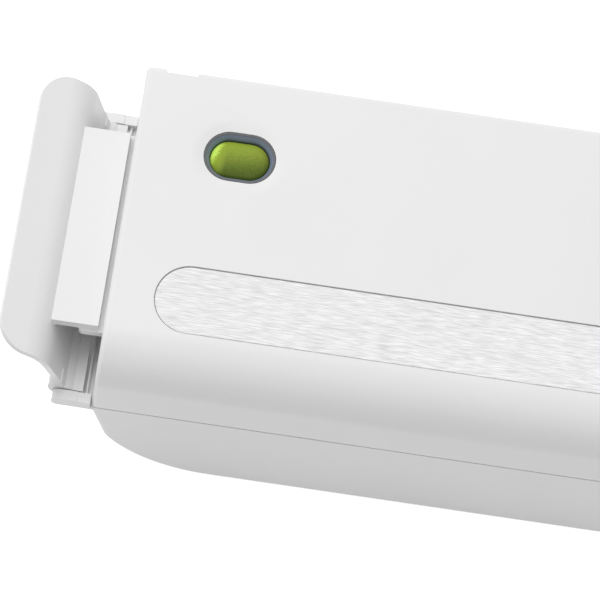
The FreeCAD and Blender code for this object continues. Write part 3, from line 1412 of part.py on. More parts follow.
# Test every object, then write every sub-part
for piece in doc.Objects:
    if "Invalid" in piece.State or "Error" in piece.State:
        raise RuntimeError(f"{piece.Name} failed: {piece.State}")
for node in nodes:
    if node.Shape.isNull() or not node.Shape.isValid():
        raise RuntimeError(f"{node.Label} has no valid shape")

os.makedirs("parts", exist_ok=True)
for node in nodes:
    node.Shape.exportStep(f"parts/{node.Label}.step")
    print(f"{node.Label}: {len(node.Shape.Solids)} solids, {node.Shape.Volume:.0f} cubic millimetres")
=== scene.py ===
"""Looks of a countertop vacuum sealer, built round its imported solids."""

import json
import math

import bpy
from mathutils import Matrix, Vector


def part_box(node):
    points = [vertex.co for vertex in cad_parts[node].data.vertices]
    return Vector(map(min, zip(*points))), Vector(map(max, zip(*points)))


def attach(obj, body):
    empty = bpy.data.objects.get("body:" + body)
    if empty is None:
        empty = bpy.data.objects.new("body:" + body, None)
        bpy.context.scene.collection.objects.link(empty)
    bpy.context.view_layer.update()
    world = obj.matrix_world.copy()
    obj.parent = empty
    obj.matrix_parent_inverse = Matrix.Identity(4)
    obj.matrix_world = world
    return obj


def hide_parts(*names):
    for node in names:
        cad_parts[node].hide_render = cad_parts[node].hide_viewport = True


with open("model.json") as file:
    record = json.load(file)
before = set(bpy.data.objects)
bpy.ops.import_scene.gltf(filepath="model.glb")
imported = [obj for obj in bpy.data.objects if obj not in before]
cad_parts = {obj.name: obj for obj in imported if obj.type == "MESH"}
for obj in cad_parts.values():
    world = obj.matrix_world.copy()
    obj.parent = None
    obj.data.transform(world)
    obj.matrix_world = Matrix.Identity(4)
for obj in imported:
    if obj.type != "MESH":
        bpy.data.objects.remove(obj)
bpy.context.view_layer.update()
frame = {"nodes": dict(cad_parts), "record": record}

MM = 0.001


# Camera at the photograph's viewing angle, angles in degrees and lengths in metres
CAMERA_AZIMUTH = -0.53
CAMERA_ELEVATION = 65.01
CAMERA_ROLL = 7.85
CAMERA_DISTANCE = 1.5
CAMERA_AIM = Vector((-0.11747, -0.01976, 0.077))
SENSOR_WIDTH_MM = 36.0
FOCAL_PIXELS = 4162.5
IMAGE_PIXELS = 600


def add_camera():
    azimuth = math.radians(CAMERA_AZIMUTH)
    elevation = math.radians(CAMERA_ELEVATION)
    roll = math.radians(CAMERA_ROLL)
    forward = Vector((math.sin(azimuth) * math.cos(elevation), math.cos(azimuth) * math.cos(elevation),
                      -math.sin(elevation)))
    level = Vector((math.cos(azimuth), -math.sin(azimuth), 0))
    upward = level.cross(forward)
    right = level * math.cos(roll) + upward * math.sin(roll)
    top = upward * math.cos(roll) - level * math.sin(roll)
    data = bpy.data.cameras.new("camera")
    data.sensor_fit = "HORIZONTAL"
    data.sensor_width = SENSOR_WIDTH_MM
    data.lens = FOCAL_PIXELS / IMAGE_PIXELS * SENSOR_WIDTH_MM
    camera = bpy.data.objects.new("camera", data)
    turn = Matrix((right, top, -forward)).transposed().to_4x4()
    camera.matrix_world = Matrix.Translation(CAMERA_AIM - forward * CAMERA_DISTANCE) @ turn
    bpy.context.scene.collection.objects.link(camera)
    bpy.context.scene.camera = camera


# Studio: a white floor, an even sky and one soft lamp, in metres and watts
FLOOR_SIZE = 8.0
FLOOR_COLOUR = (0.8, 0.8, 0.8, 1)
FLOOR_GLOW = 0.8
SKY_COLOUR = (1, 1, 1, 1)
SKY_STRENGTH = 0.47
SKY_WHITE = 1.0
LAMP_PLACE = Vector((-0.9, 0.75, 2.5))
LAMP_AIM = Vector((-0.1, 0, 0.05))
LAMP_SIZE = 2.6
LAMP_POWER = 46.5


def seen_directly(tree):
    """A factor that is 1 for rays from the camera, from gloss and through glass, and 0 for the rest."""
    path = tree.nodes.new("ShaderNodeLightPath")
    factor = path.outputs["Is Camera Ray"]
    for kind in ("Is Glossy Ray", "Is Transmission Ray"):
        larger = tree.nodes.new("ShaderNodeMath")
        larger.operation = "MAXIMUM"
        tree.links.new(factor, larger.inputs[0])
        tree.links.new(path.outputs[kind], larger.inputs[1])
        factor = larger.outputs[0]
    return factor


def floor_paper():
    """White paper whose glow shows in the picture, in gloss and through glass, but lights no matt surface."""
    material = bpy.data.materials.new("floor_paper")
    material.use_nodes = True
    tree = material.node_tree
    tree.nodes.clear()
    paper = tree.nodes.new("ShaderNodeBsdfDiffuse")
    paper.inputs["Color"].default_value = FLOOR_COLOUR
    glow = tree.nodes.new("ShaderNodeEmission")
    level = tree.nodes.new("ShaderNodeMath")
    level.operation = "MULTIPLY"
    level.inputs[1].default_value = FLOOR_GLOW
    tree.links.new(seen_directly(tree), level.inputs[0])
    tree.links.new(level.outputs[0], glow.inputs["Strength"])
    both = tree.nodes.new("ShaderNodeAddShader")
    tree.links.new(paper.outputs[0], both.inputs[0])
    tree.links.new(glow.outputs[0], both.inputs[1])
    output = tree.nodes.new("ShaderNodeOutputMaterial")
    tree.links.new(both.outputs[0], output.inputs["Surface"])
    return material


def add_floor():
    mesh = bpy.data.meshes.new("floor")
    half = FLOOR_SIZE / 2
    corners = [(-half, -half, 0), (half, -half, 0), (half, half, 0), (-half, half, 0)]
    mesh.from_pydata(corners, [], [(0, 1, 2, 3)])
    mesh.materials.append(floor_paper())
    floor = bpy.data.objects.new("floor", mesh)
    bpy.context.scene.collection.objects.link(floor)


def add_sky():
    """A sky that looks white and lights the scene less strongly."""
    world = bpy.data.worlds.new("studio")
    world.use_nodes = True
    tree = world.node_tree
    sky = tree.nodes["Background"]
    sky.inputs["Color"].default_value = SKY_COLOUR
    level = tree.nodes.new("ShaderNodeMapRange")
    level.inputs["To Min"].default_value = SKY_STRENGTH
    level.inputs["To Max"].default_value = SKY_WHITE
    tree.links.new(seen_directly(tree), level.inputs["Value"])
    tree.links.new(level.outputs["Result"], sky.inputs["Strength"])
    bpy.context.scene.world = world


def add_lamp():
    """A round lamp that has no mirror image in glossy surfaces."""
    data = bpy.data.lights.new("top_lamp", "AREA")
    data.shape = "DISK"
    data.size = LAMP_SIZE
    data.energy = LAMP_POWER
    lamp = bpy.data.objects.new("top_lamp", data)
    lamp.location = LAMP_PLACE
    lamp.rotation_euler = (LAMP_AIM - LAMP_PLACE).to_track_quat("-Z", "Y").to_euler()
    lamp.visible_glossy = False
    bpy.context.scene.collection.objects.link(lamp)


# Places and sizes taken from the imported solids
SAME_PLACE_DIGITS = 6


def corners_of(node):
    """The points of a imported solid, in metres."""
    return [vertex.co for vertex in frame["nodes"][node].data.vertices]


def lid_top_place(node):
    """A frame in the middle of a node's top, with its Z square to the lid's top."""
    joints = frame["record"]["behaviour"]["joints"]
    press = next(joint for joint in joints if joint["child"] == "start_button")
    across = Vector((1, 0, 0))
    up = -Vector(press["axis"]).normalized()
    ways = (across, up.cross(across), up)
    points = corners_of(node)
    spans = []
    for way in ways:
        reaches = [point.dot(way) for point in points]
        spans.append((min(reaches), max(reaches)))
    middle = ways[0] * sum(spans[0]) / 2 + ways[1] * sum(spans[1]) / 2 + up * spans[2][1]
    return Matrix.Translation(middle) @ Matrix(ways).transposed().to_4x4()


def span_in(place, node, axis):
    """How far a node reaches down and up along one axis of a frame, in millimetres."""
    way = place.to_3x3().col[axis]
    reaches = [(point - place.translation).dot(way) / MM for point in corners_of(node)]
    return min(reaches), max(reaches)


def islands(node):
    """The boxes of a node's separate solids, in millimetres."""
    mesh = frame["nodes"][node].data
    parent = list(range(len(mesh.vertices)))

    def root(index):
        while parent[index] != index:
            parent[index] = parent[parent[index]]
            index = parent[index]
        return index

    spots = {}
    for vertex in mesh.vertices:
        key = tuple(round(value, SAME_PLACE_DIGITS) for value in vertex.co)
        parent[vertex.index] = root(spots.setdefault(key, vertex.index))
    for edge in mesh.edges:
        parent[root(edge.vertices[0])] = root(edge.vertices[1])
    groups = {}
    for vertex in mesh.vertices:
        groups.setdefault(root(vertex.index), []).append(vertex.co / MM)
    boxes = []
    for points in groups.values():
        low = Vector([min(point[axis] for point in points) for axis in range(3)])
        high = Vector([max(point[axis] for point in points) for axis in range(3)])
        boxes.append((low, high))
    return boxes


# Materials: builders for procedural surfaces, with texture scales per metre and bump depths in metres
TONE_STOPS = (0.3, 0.7)
CLOUD_SCALE = 18.0
CLOUD_DETAIL = 3.0
PATCH_SCALE = 60.0
GRAIN_SCALE = 1400.0
GRAIN_DEPTH = 0.00002
PLASTIC_SPREAD = 0.04
LINE_DETAIL = 3.0
LINE_DEPTH = 0.00001
METAL_SPREAD = 0.08
EVEN_LINES = (900, 900, 900)


def srgb(*values):
    """A colour given in 0 to 255 screen values, as the linear colour that shaders take."""
    linear = []
    for value in values:
        share = value / 255
        linear.append(share / 12.92 if share <= 0.04045 else ((share + 0.055) / 1.055) ** 2.4)
    return (*linear, 1)


class Finish:
    """One node material: a principled surface whose sockets are fed by textures."""

    def __init__(self, name, **sockets):
        self.material = bpy.data.materials.new(name)
        self.material.use_nodes = True
        self.tree = self.material.node_tree
        self.shader = self.tree.nodes["Principled BSDF"]
        for socket, value in sockets.items():
            self.shader.inputs[socket.replace("_", " ")].default_value = value
        self.place = self.tree.nodes.new("ShaderNodeTexCoord").outputs["Object"]

    def add(self, kind, **settings):
        node = self.tree.nodes.new(kind)
        for key, value in settings.items():
            setattr(node, key, value)
        return node

    def link(self, start, end):
        self.tree.links.new(start, end)

    def noise(self, scale, detail=2.0, place=None):
        texture = self.add("ShaderNodeTexNoise")
        texture.inputs["Scale"].default_value = scale
        texture.inputs["Detail"].default_value = detail
        self.link(place or self.place, texture.inputs["Vector"])
        return texture.outputs["Fac"]

    def lines(self, scales, detail=2.0):
        """Noise drawn out into lines, by its own scale along each axis."""
        mapping = self.add("ShaderNodeMapping")
        mapping.inputs["Scale"].default_value = scales
        self.link(self.place, mapping.inputs["Vector"])
        return self.noise(1.0, detail, mapping.outputs["Vector"])

    def cells(self, scale, feature="F1"):
        texture = self.add("ShaderNodeTexVoronoi", feature=feature)
        texture.inputs["Scale"].default_value = scale
        self.link(self.place, texture.inputs["Vector"])
        return texture.outputs["Distance"]

    def checks(self, scale):
        texture = self.add("ShaderNodeTexChecker")
        texture.inputs["Scale"].default_value = scale
        self.link(self.place, texture.inputs["Vector"])
        return texture.outputs["Fac"]

    def ramp(self, source, *stops):
        """A colour for each value, from stops that are given as pairs of position and colour."""
        ramp = self.add("ShaderNodeValToRGB")
        band = ramp.color_ramp
        while len(band.elements) < len(stops):
            band.elements.new(0.5)
        for element, (position, colour) in zip(band.elements, stops):
            element.position = position
            element.color = colour
        self.link(source, ramp.inputs["Fac"])
        return ramp.outputs["Color"]

    def spread(self, source, low, high):
        """A value between 0 and 1 spread over another range."""
        spread = self.add("ShaderNodeMapRange")
        spread.inputs["To Min"].default_value = low
        spread.inputs["To Max"].default_value = high
        self.link(source, spread.inputs["Value"])
        return spread.outputs["Result"]

    def along(self, start, end):
        """How far a point lies on the way from one place to another, from 0 to 1."""
        way = Vector(end) - Vector(start)
        offset = self.add("ShaderNodeVectorMath", operation="SUBTRACT")
        self.link(self.place, offset.inputs[0])
        offset.inputs[1].default_value = start
        share = self.add("ShaderNodeVectorMath", operation="DOT_PRODUCT")
        self.link(offset.outputs["Vector"], share.inputs[0])
        share.inputs[1].default_value = way / way.length_squared
        return share.outputs["Value"]

    def shifted(self, source, change, share):
        """A value with a share of a second one added to it."""
        shift = self.add("ShaderNodeMath", operation="MULTIPLY_ADD")
        self.link(change, shift.inputs[0])
        shift.inputs[1].default_value = share
        self.link(source, shift.inputs[2])
        return shift.outputs[0]

    def colour(self, source, *stops):
        self.link(self.ramp(source, *stops), self.shader.inputs["Base Color"])

    def tone(self, source, low, high):
        """A colour that wanders between two tones."""
        self.colour(source, *zip(TONE_STOPS, (low, high)))

    def roughness(self, source, low, high):
        self.link(self.spread(source, low, high), self.shader.inputs["Roughness"])

    def bump(self, source, depth):
        bump = self.add("ShaderNodeBump")
        bump.inputs["Strength"].default_value = 1.0
        bump.inputs["Distance"].default_value = depth
        self.link(source, bump.inputs["Height"])
        self.link(bump.outputs["Normal"], self.shader.inputs["Normal"])


def moulded(name, low, high, rough, grain=GRAIN_SCALE, depth=GRAIN_DEPTH, **sockets):
    """A moulded plastic: a faint cloudy tone, a fine grain and a roughness that wanders."""
    finish = Finish(name, **sockets)
    finish.tone(finish.noise(CLOUD_SCALE, CLOUD_DETAIL), low, high)
    finish.roughness(finish.noise(PATCH_SCALE), rough - PLASTIC_SPREAD, rough + PLASTIC_SPREAD)
    finish.bump(finish.noise(grain), depth)
    return finish.material


def white_casing():
    return moulded("white_casing", srgb(237, 237, 237), srgb(240, 240, 240), 0.36)


def grey_plastic():
    return moulded("grey_plastic", srgb(196, 197, 199), srgb(203, 204, 206), 0.5)


def black_plastic():
    return moulded("black_plastic", srgb(30, 30, 32), srgb(38, 38, 40), 0.45)


def foot_rubber():
    return moulded("foot_rubber", srgb(46, 46, 48), srgb(58, 58, 60), 0.75, grain=2600.0, depth=0.00006)


def diaphragm_rubber():
    return moulded("diaphragm_rubber", srgb(34, 34, 34), srgb(44, 44, 44), 0.65)


def hose_silicone():
    return moulded("hose_silicone", srgb(206, 208, 208), srgb(218, 220, 220), 0.4, Subsurface_Weight=0.2)


def bar_resin():
    return moulded("bar_resin", srgb(216, 211, 198), srgb(226, 221, 208), 0.55)


def led_lens():
    return moulded("led_lens", srgb(186, 232, 160), srgb(200, 240, 176), 0.15, Transmission_Weight=0.4)


# The depth in millimetres over which the bezel's painted shade changes, and how unevenly
BEZEL_SHADE = 2.5
BEZEL_UNEVEN = 0.06
BEZEL_PATCHES = 400.0


def bezel_plastic():
    """Slate plastic with painted shade: a darker grey rim, and a well that darkens again towards its bottom.
    """
    finish = Finish("bezel_plastic")
    place = lid_top_place("button_bezel")
    upright = place.to_3x3().col[2]
    depth = finish.along(place.translation, place.translation - upright * BEZEL_SHADE * MM)
    patches = finish.spread(finish.noise(BEZEL_PATCHES), -1.0, 1.0)
    # painted shade: grey at the rim, lighter slate just below it, darker slate deeper in the well
    finish.colour(finish.shifted(depth, patches, BEZEL_UNEVEN), (0.1, srgb(116, 116, 121)),
                  (0.3, srgb(130, 142, 168)), (0.9, srgb(120, 130, 156)))
    finish.roughness(patches, 0.4, 0.5)
    finish.bump(finish.noise(GRAIN_SCALE), GRAIN_DEPTH)
    return finish.material


# The button's painted shade and painted highlight: insets as shares of its depth, the highlight in
# millimetres from its left end
BUTTON_SHADE_INSET = 0.1
BUTTON_SHADE_START = 0.25
BUTTON_PAINTED_HIGHLIGHT_START = 1.6
BUTTON_PAINTED_HIGHLIGHT_END = 7.0
BUTTON_PAINTED_HIGHLIGHT_SHARE = -0.75
BUTTON_SPECKLE = 2200.0
BUTTON_SPECKLE_SHARE = 0.26
BUTTON_SPECKLE_DEPTH = 0.00003


def button_plastic():
    """Frosted lime plastic with a painted highlight at its left end and painted shade that deepens towards
    the front.
    """
    finish = Finish("button_plastic", Subsurface_Weight=0.15, Subsurface_Scale=0.002, Specular_IOR_Level=0.25)
    low, high = (Vector(corner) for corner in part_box("button_cap"))
    speckle = finish.noise(BUTTON_SPECKLE)
    inset = (high.y - low.y) * BUTTON_SHADE_INSET
    # painted shade: the cap's colour darkens from its rear edge towards its front
    depth = finish.along((low.x, high.y - inset, high.z), (low.x + inset, low.y + inset, high.z))
    shade_depth = finish.spread(depth, BUTTON_SHADE_START, 1.0)
    # painted highlight: the colour is lifted to bright lime near the cap's left end
    glow = finish.along((low.x + BUTTON_PAINTED_HIGHLIGHT_END * MM, high.y, high.z),
                        (low.x + BUTTON_PAINTED_HIGHLIGHT_START * MM, high.y, high.z))
    painted_light = finish.shifted(shade_depth, finish.spread(glow, 0.0, 1.0), BUTTON_PAINTED_HIGHLIGHT_SHARE)
    flecked = finish.shifted(painted_light, finish.spread(speckle, -1.0, 1.0), BUTTON_SPECKLE_SHARE)
    finish.colour(flecked, (0.0, srgb(216, 255, 112)), (0.25, srgb(154, 176, 56)), (0.6, srgb(142, 160, 58)),
                  (0.9, srgb(102, 120, 42)), (1.0, srgb(88, 108, 32)))
    finish.roughness(speckle, 0.34, 0.5)
    finish.bump(speckle, BUTTON_SPECKLE_DEPTH)
    return finish.material


# Scales of the strip's strokes along the three axes
STROKE_TONES = (170, 3700, 3700)
STROKE_DETAIL = 4.0
STROKE_RELIEF = (300, 3600, 3600)
STROKE_DEPTH = 0.000012


def brushed_trim():
    finish = Finish("brushed_trim", Metallic=1.0)
    strokes = finish.lines(STROKE_TONES, STROKE_DETAIL)
    finish.colour(strokes, (0.34, srgb(216, 216, 217)), (0.66, srgb(253, 253, 254)))
    finish.roughness(strokes, 0.3, 0.4)
    finish.bump(finish.lines(STROKE_RELIEF), STROKE_DEPTH)
    return finish.material


def metal(name, low, high, rough, scales, depth=LINE_DEPTH):
    """A metal with drawn or rolled lines, by their scale along each axis."""
    finish = Finish(name, Metallic=1.0)
    lines = finish.lines(scales, LINE_DETAIL)
    finish.tone(lines, low, high)
    finish.roughness(lines, rough - METAL_SPREAD, rough + METAL_SPREAD)
    finish.bump(lines, depth)
    return finish.material


def heater_metal():
    return metal("heater_metal", srgb(176, 172, 166), srgb(204, 200, 194), 0.35, (30, 2500, 2500))


def steel():
    return metal("steel", srgb(184, 184, 186), srgb(212, 212, 214), 0.3, EVEN_LINES)


def pin_brass():
    return metal("pin_brass", srgb(206, 178, 104), srgb(228, 200, 126), 0.28, EVEN_LINES)


def coil_copper():
    return metal("coil_copper", srgb(176, 98, 52), srgb(206, 128, 76), 0.35, (60, 60, 2600), 0.00012)


def core_steel():
    return metal("core_steel", srgb(96, 96, 98), srgb(128, 128, 130), 0.5, (40, 2000, 40), 0.00004)


def motor_can():
    return metal("motor_can", srgb(168, 168, 170), srgb(190, 190, 192), 0.32, (1200, 60, 60))


FOAM_PORES = 1500.0
FOAM_PORE_DEPTH = 0.00012


def gasket_foam():
    finish = Finish("gasket_foam")
    pores = finish.cells(FOAM_PORES)
    finish.colour(pores, (0.1, srgb(58, 60, 64)), (0.6, srgb(84, 86, 90)))
    finish.roughness(pores, 0.8, 0.95)
    finish.bump(pores, FOAM_PORE_DEPTH)
    return finish.material


WEAVE_SCALE = 1600.0
WEAVE_PATCHES = 300.0
WEAVE_DEPTH = 0.00003


def tape_cloth():
    finish = Finish("tape_cloth", Sheen_Weight=0.15)
    weave = finish.checks(WEAVE_SCALE)
    finish.colour(weave, (0.0, srgb(176, 140, 96)), (1.0, srgb(188, 152, 108)))
    finish.roughness(finish.noise(WEAVE_PATCHES), 0.4, 0.55)
    finish.bump(weave, WEAVE_DEPTH)
    return finish.material


TRACK_SCALE = 260.0
TRACK_DEPTH = 0.00002


def circuit_board():
    finish = Finish("circuit_board")
    tracks = finish.cells(TRACK_SCALE, "DISTANCE_TO_EDGE")
    finish.colour(tracks, (0.04, srgb(70, 128, 84)), (0.08, srgb(36, 92, 56)))
    finish.roughness(tracks, 0.3, 0.45)
    finish.bump(tracks, TRACK_DEPTH)
    return finish.material


FINISHES = [white_casing, grey_plastic, brushed_trim, bezel_plastic, button_plastic, foot_rubber, gasket_foam,
            bar_resin, heater_metal, tape_cloth, steel, black_plastic, hose_silicone, diaphragm_rubber,
            motor_can, core_steel, coil_copper, circuit_board, pin_brass, led_lens]


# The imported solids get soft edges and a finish, with widths in millimetres and angles in degrees
SHADE_ANGLE = 32
SHARP_ANGLE = 38
MERGE_DISTANCE = 0.002
EDGE_SEGMENTS = 3
PLAIN_EDGE = 0.15
CASING_EDGE = 0.1
CASING = ("lid_shell", "base_shell", "latch_lever_left", "latch_lever_right")


def smooth_by_angle():
    """A node group that shades a mesh smooth, except across edges sharper than the shade angle."""
    group = bpy.data.node_groups.new("smooth_by_angle", "GeometryNodeTree")
    group.interface.new_socket("Geometry", in_out="INPUT", socket_type="NodeSocketGeometry")
    group.interface.new_socket("Geometry", in_out="OUTPUT", socket_type="NodeSocketGeometry")
    start = group.nodes.new("NodeGroupInput")
    end = group.nodes.new("NodeGroupOutput")
    faces = group.nodes.new("GeometryNodeSetShadeSmooth")
    faces.domain = "FACE"
    edges = group.nodes.new("GeometryNodeSetShadeSmooth")
    edges.domain = "EDGE"
    edges.inputs["Shade Smooth"].default_value = False
    angle = group.nodes.new("GeometryNodeInputMeshEdgeAngle")
    sharp = group.nodes.new("FunctionNodeCompare")
    sharp.inputs["B"].default_value = math.radians(SHADE_ANGLE)
    group.links.new(angle.outputs["Unsigned Angle"], sharp.inputs["A"])
    group.links.new(sharp.outputs["Result"], edges.inputs["Selection"])
    group.links.new(start.outputs["Geometry"], faces.inputs["Geometry"])
    group.links.new(faces.outputs["Geometry"], edges.inputs["Geometry"])
    group.links.new(edges.outputs["Geometry"], end.inputs["Geometry"])
    return group


def shade(piece):
    """Smooth shading whose flat faces stay flat beside rounded edges."""
    piece.modifiers.new("smooth", "NODES").node_group = smooth_group
    weigh = piece.modifiers.new("weigh", "WEIGHTED_NORMAL")
    weigh.mode = "FACE_AREA"
    weigh.keep_sharp = True


def soften(solid, width):
    """Real rounded edges on a solid, from modifiers alone."""
    weld = solid.modifiers.new("weld", "WELD")
    weld.merge_threshold = MERGE_DISTANCE * MM
    bevel = solid.modifiers.new("edge", "BEVEL")
    bevel.width = width * MM
    bevel.segments = EDGE_SEGMENTS
    bevel.limit_method = "ANGLE"
    bevel.angle_limit = math.radians(SHARP_ANGLE)
    bevel.use_clamp_overlap = False
    bevel.loop_slide = False
    bevel.miter_outer = "MITER_ARC"
    shade(solid)


def dress(node, material):
    solid = frame["nodes"][node]
    solid.data.materials.clear()
    solid.data.materials.append(material)
    soften(solid, CASING_EDGE if node in CASING else PLAIN_EDGE)


# New pieces: rings of points, given in millimetres, joined into closed skins
ARC_STEPS = 24
CORNER_STEPS = 12
TURN_STEPS = 48
# How far in and down the middle of a rounded edge lies, as a share of its radius
ARC_MIDDLE = 0.3


class Skin:
    """The vertices and faces of one piece."""

    def __init__(self, place=Matrix()):
        self.place = place @ Matrix.Scale(MM, 4)
        self.vertices = []
        self.faces = []

    def loft(self, rings, closed=False):
        """Rings of equal count joined in turn, back to the first one or capped at both ends."""
        spans = []
        for points in rings:
            start = len(self.vertices)
            self.vertices += [self.place @ Vector(point) for point in points]
            spans.append(range(start, len(self.vertices)))
        following = spans[1:] + spans[:1] if closed else spans[1:]
        for lower, upper in zip(spans, following):
            for index in range(len(lower)):
                after = (index + 1) % len(lower)
                self.faces.append((lower[index], lower[after], upper[after], upper[index]))
        if not closed:
            self.faces.append(tuple(reversed(spans[0])))
            self.faces.append(tuple(spans[-1]))

    def piece(self, name, body, slot, *nodes):
        """The finished piece on its body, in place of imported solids."""
        mesh = bpy.data.meshes.new(name)
        mesh.from_pydata(self.vertices, [], self.faces)
        mesh.materials.append(materials[slot])
        piece = bpy.data.objects.new(name, mesh)
        bpy.context.scene.collection.objects.link(piece)
        shade(piece)
        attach(piece, body)
        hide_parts(*nodes)


def circle(radius, level, centre=(0, 0)):
    turns = (2 * math.pi * step / TURN_STEPS for step in range(TURN_STEPS))
    return [(centre[0] + radius * math.cos(turn), centre[1] + radius * math.sin(turn), level)
            for turn in turns]


def stadium(straight, radius, level):
    """A ring with straight sides along X and half-round ends."""
    points = []
    for side in (1, -1):
        for step in range(ARC_STEPS + 1):
            turn = math.pi * (step / ARC_STEPS - 0.5)
            reach = straight / 2 + radius * math.cos(turn)
            points.append((side * reach, side * radius * math.sin(turn), level))
    return points


# Start button: a funnel-shaped bezel and a cap like a pillow, with levels from the bezel's top
BUTTON_STRAIGHT = 7.3
BEZEL_RADIUS = 9.35
BEZEL_BOTTOM = -5.2
BEZEL_RIM = 0.35
BEZEL_FLANGE_RADIUS = 10.95
BEZEL_FLANGE_BOTTOM = -2.9
BEZEL_FLANGE_TOP = -1.7
FUNNEL_TOP_RADIUS = 8.6
FUNNEL_TOP = -0.3
FUNNEL_END_RADIUS = 7.55
FUNNEL_END = -2.2
WELL_RADIUS = 7.4
WELL_TOP = FUNNEL_END - BEZEL_RIM
CAP_RADIUS = 7.1
CAP_FLANGE_RADIUS = 8.3
CAP_FLANGE_BOTTOM = -7.2
CAP_FLANGE_TOP = -5.5
CAP_TOP = -1.2
CAP_RISE = 2.8
CAP_RIDGE = 0.4
CAP_STEPS = 14
STEM_RADIUS = 1.4


def add_bezel(place):
    rim_in = BEZEL_RIM * ARC_MIDDLE
    outline = [
        (WELL_RADIUS, BEZEL_BOTTOM),
        (BEZEL_RADIUS, BEZEL_BOTTOM),
        (BEZEL_RADIUS, BEZEL_FLANGE_BOTTOM),
        (BEZEL_FLANGE_RADIUS, BEZEL_FLANGE_BOTTOM),
        (BEZEL_FLANGE_RADIUS, BEZEL_FLANGE_TOP),
        (BEZEL_RADIUS, BEZEL_FLANGE_TOP),
        (BEZEL_RADIUS, -BEZEL_RIM),
        (BEZEL_RADIUS - rim_in, -rim_in),
        (BEZEL_RADIUS - BEZEL_RIM, 0),
        (FUNNEL_TOP_RADIUS, FUNNEL_TOP),
        (FUNNEL_END_RADIUS, FUNNEL_END),
        (WELL_RADIUS, WELL_TOP),
    ]
    skin = Skin(place)
    skin.loft([stadium(BUTTON_STRAIGHT, radius, level) for radius, level in outline], closed=True)
    skin.piece("bezel_funnel", "lid", "bezel_plastic", "button_bezel")


def add_button(place):
    outline = [
        (CAP_FLANGE_RADIUS, CAP_FLANGE_BOTTOM),
        (CAP_FLANGE_RADIUS, CAP_FLANGE_TOP),
        (CAP_RADIUS, CAP_FLANGE_TOP),
    ]
    for step in range(CAP_STEPS + 1):
        turn = math.pi / 2 * step / CAP_STEPS
        radius = CAP_RIDGE + (CAP_RADIUS - CAP_RIDGE) * math.cos(turn)
        outline.append((radius, CAP_TOP - CAP_RISE * (1 - math.sin(turn))))
    stem_end, _ = span_in(place, "button_cap", 2)
    skin = Skin(place)
    skin.loft([stadium(BUTTON_STRAIGHT, radius, level) for radius, level in outline])
    skin.loft([circle(STEM_RADIUS, stem_end), circle(STEM_RADIUS, CAP_FLANGE_BOTTOM)])
    skin.piece("button_pillow", "start_button", "button_plastic", "button_cap")


# Trim strip, a little lower than the lid's top, with rounded edges
STRIP_SINK = 0.35
STRIP_ROUND = 0.3
STRIP_SHOULDER = 0.0875


def add_strip():
    low, high = (Vector(corner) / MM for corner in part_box("trim_strip"))
    place = lid_top_place("trim_strip")
    under, _ = span_in(place, "trim_strip", 2)
    _, radius = span_in(place, "trim_strip", 1)
    straight = high.x - low.x - radius * 2
    outline = [
        (radius, under),
        (radius, -STRIP_SINK - STRIP_ROUND),
        (radius - STRIP_ROUND * ARC_MIDDLE, -STRIP_SINK - STRIP_SHOULDER),
        (radius - STRIP_ROUND, -STRIP_SINK),
    ]
    skin = Skin(place)
    skin.loft([stadium(straight, reach, level) for reach, level in outline])
    skin.piece("strip_plate", "lid", "brushed_trim", "trim_strip")


# Foam rings round the trough
FOAM_CORNER = 6.0
FOAM_WIDTH = 5.6
FOAM_ROUND = 1.4
FOAM_STEPS = 6


def foam_section(seat, crown):
    """The outline of a foam ring's section: flat on its seat, with rounded edges at its crown."""
    half = FOAM_WIDTH / 2
    lean = 1 if crown > seat else -1
    section = [(-half, seat), (half, seat)]
    for side, steps in ((1, range(FOAM_STEPS + 1)), (-1, range(FOAM_STEPS, -1, -1))):
        for step in steps:
            turn = math.pi / 2 * step / FOAM_STEPS
            across = half - FOAM_ROUND * (1 - math.cos(turn))
            section.append((side * across, crown - lean * FOAM_ROUND * (1 - math.sin(turn))))
    if crown > seat:
        section.reverse()
    return section


def add_foam(name, node, body, crown_up):
    """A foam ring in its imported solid's box, rounded on the side that meets the other ring."""
    low, high = (Vector(corner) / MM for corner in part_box(node))
    section = foam_section(low.z, high.z) if crown_up else foam_section(high.z, low.z)
    middle = (low + high) / 2
    reach = (high - low) / 2 - Vector((FOAM_CORNER, FOAM_CORNER, 0))
    radius = FOAM_CORNER - FOAM_WIDTH / 2
    rings = []
    for quarter, (side_x, side_y) in enumerate(((1, 1), (-1, 1), (-1, -1), (1, -1))):
        centre_x = middle.x + side_x * reach.x
        centre_y = middle.y + side_y * reach.y
        for step in range(CORNER_STEPS + 1):
            turn = math.pi / 2 * (quarter + step / CORNER_STEPS)
            rings.append([(centre_x + (radius + out) * math.cos(turn),
                           centre_y + (radius + out) * math.sin(turn), level) for out, level in section])
    skin = Skin()
    skin.loft(rings, closed=True)
    skin.piece(name, body, "gasket_foam", node)


# Screws with a cross recess in a domed head that faces down
CROSS_ARM = 1.55
CROSS_HALF = 0.42
CROSS_DEPTH = 1.1
CROSS_TAPER = 0.45
CROSS_BETWEEN = (math.pi / 6, math.pi / 9)
HEAD_RADIUS = 2.8
HEAD_HEIGHT = 2.2
HEAD_FLAT_RADIUS = 1.848
HEAD_DOME_RADIUS = 2.464
HEAD_DOME_RISE = 0.2
HEAD_SIDE_RISE = 0.7
SHANK_RADIUS = 1.5
SHANK_TIP_RADIUS = 0.6
SHANK_POINT = 1.5
SMALLEST_SINE = 1e-6


def cross_reach(turn):
    """How far the cross reaches from its middle at an angle."""
    folded = (turn + math.pi / 4) % (math.pi / 2) - math.pi / 4
    along = CROSS_ARM / math.cos(folded)
    beside = CROSS_HALF / max(abs(math.sin(folded)), SMALLEST_SINE)
    return min(along, beside)


def screw_turns():
    """Angles round a screw that meet the corners of its cross."""
    beside = (*CROSS_BETWEEN, math.atan2(CROSS_HALF, CROSS_ARM))
    quarter = [-math.pi / 4, *(-turn for turn in beside), 0, *reversed(beside)]
    return [math.pi / 2 * side + turn for side in range(4) for turn in quarter]


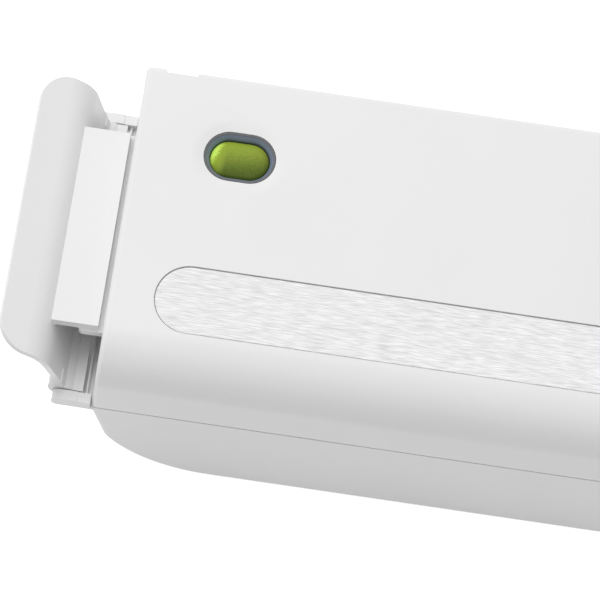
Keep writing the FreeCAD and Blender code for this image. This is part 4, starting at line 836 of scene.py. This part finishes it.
def add_screws(name, node, body):
    skin = Skin()
    turns = screw_turns()

    def ring(centre, reach, level):
        return [(centre.x + reach(turn) * math.cos(turn), centre.y + reach(turn) * math.sin(turn), level)
                for turn in turns]

    for low, high in islands(node):
        centre = (low + high) / 2
        face = low.z
        seat = face + HEAD_HEIGHT
        profile = [
            (HEAD_FLAT_RADIUS, face),
            (HEAD_DOME_RADIUS, face + HEAD_DOME_RISE),
            (HEAD_RADIUS, face + HEAD_SIDE_RISE),
            (HEAD_RADIUS, seat),
            (SHANK_RADIUS, seat),
            (SHANK_RADIUS, high.z - SHANK_POINT),
            (SHANK_TIP_RADIUS, high.z),
        ]
        rings = [ring(centre, lambda turn: cross_reach(turn) * CROSS_TAPER, face + CROSS_DEPTH),
                 ring(centre, cross_reach, face)]
        rings += [ring(centre, lambda turn, radius=radius: radius, level) for radius, level in profile]
        skin.loft(rings)
    skin.piece(name, body, "steel", node)


# Rubber feet with rings moulded into their soles
FOOT_MIDDLE = 1.1
FOOT_GROOVES = (2.2, 4.0, 5.8)
GROOVE_WIDTH = 0.7
GROOVE_SLOPE = 0.14
GROOVE_DEPTH = 0.5
FOOT_HEIGHT = 4.0
FOOT_ROUND = 0.7
FOOT_TOP_BEVEL = 0.28
FOOT_STEM = 2.5


def add_feet(name, node, body):
    skin = Skin()
    for low, high in islands(node):
        centre = (low + high) / 2
        radius = (high.x - low.x) / 2
        sole = low.z
        top = sole + FOOT_HEIGHT
        round_in = FOOT_ROUND * ARC_MIDDLE
        profile = [(FOOT_MIDDLE, sole)]
        for start in FOOT_GROOVES:
            end = start + GROOVE_WIDTH
            profile += [
                (start, sole),
                (start + GROOVE_SLOPE, sole + GROOVE_DEPTH),
                (end - GROOVE_SLOPE, sole + GROOVE_DEPTH),
                (end, sole),
            ]
        profile += [
            (radius - FOOT_ROUND, sole),
            (radius - round_in, sole + round_in),
            (radius, sole + FOOT_ROUND),
            (radius, top - FOOT_TOP_BEVEL),
            (radius - FOOT_TOP_BEVEL, top),
            (FOOT_STEM, top),
            (FOOT_STEM, high.z),
        ]
        skin.loft([circle(reach, level, centre) for reach, level in profile])
    skin.piece(name, body, "foot_rubber", node)


# The scene
bpy.context.scene.view_settings.view_transform = "Standard"
add_camera()
add_floor()
add_sky()
add_lamp()
smooth_group = smooth_by_angle()

materials = {make.__name__: make() for make in FINISHES}
for subpart in frame["record"]["subparts"]:
    dress(subpart["node"], materials[subpart["material_slot"]])

add_strip()
top_of_button = lid_top_place("button_bezel")
add_bezel(top_of_button)
add_button(top_of_button)
add_foam("lower_foam", "lower_gasket", "base", crown_up=True)
add_foam("upper_foam", "upper_gasket", "lid", crown_up=False)
add_screws("deck_screw_set", "deck_screws", "base")
add_screws("liner_screw_set", "liner_screws", "lid")
add_feet("foot_set", "rubber_feet", "base")
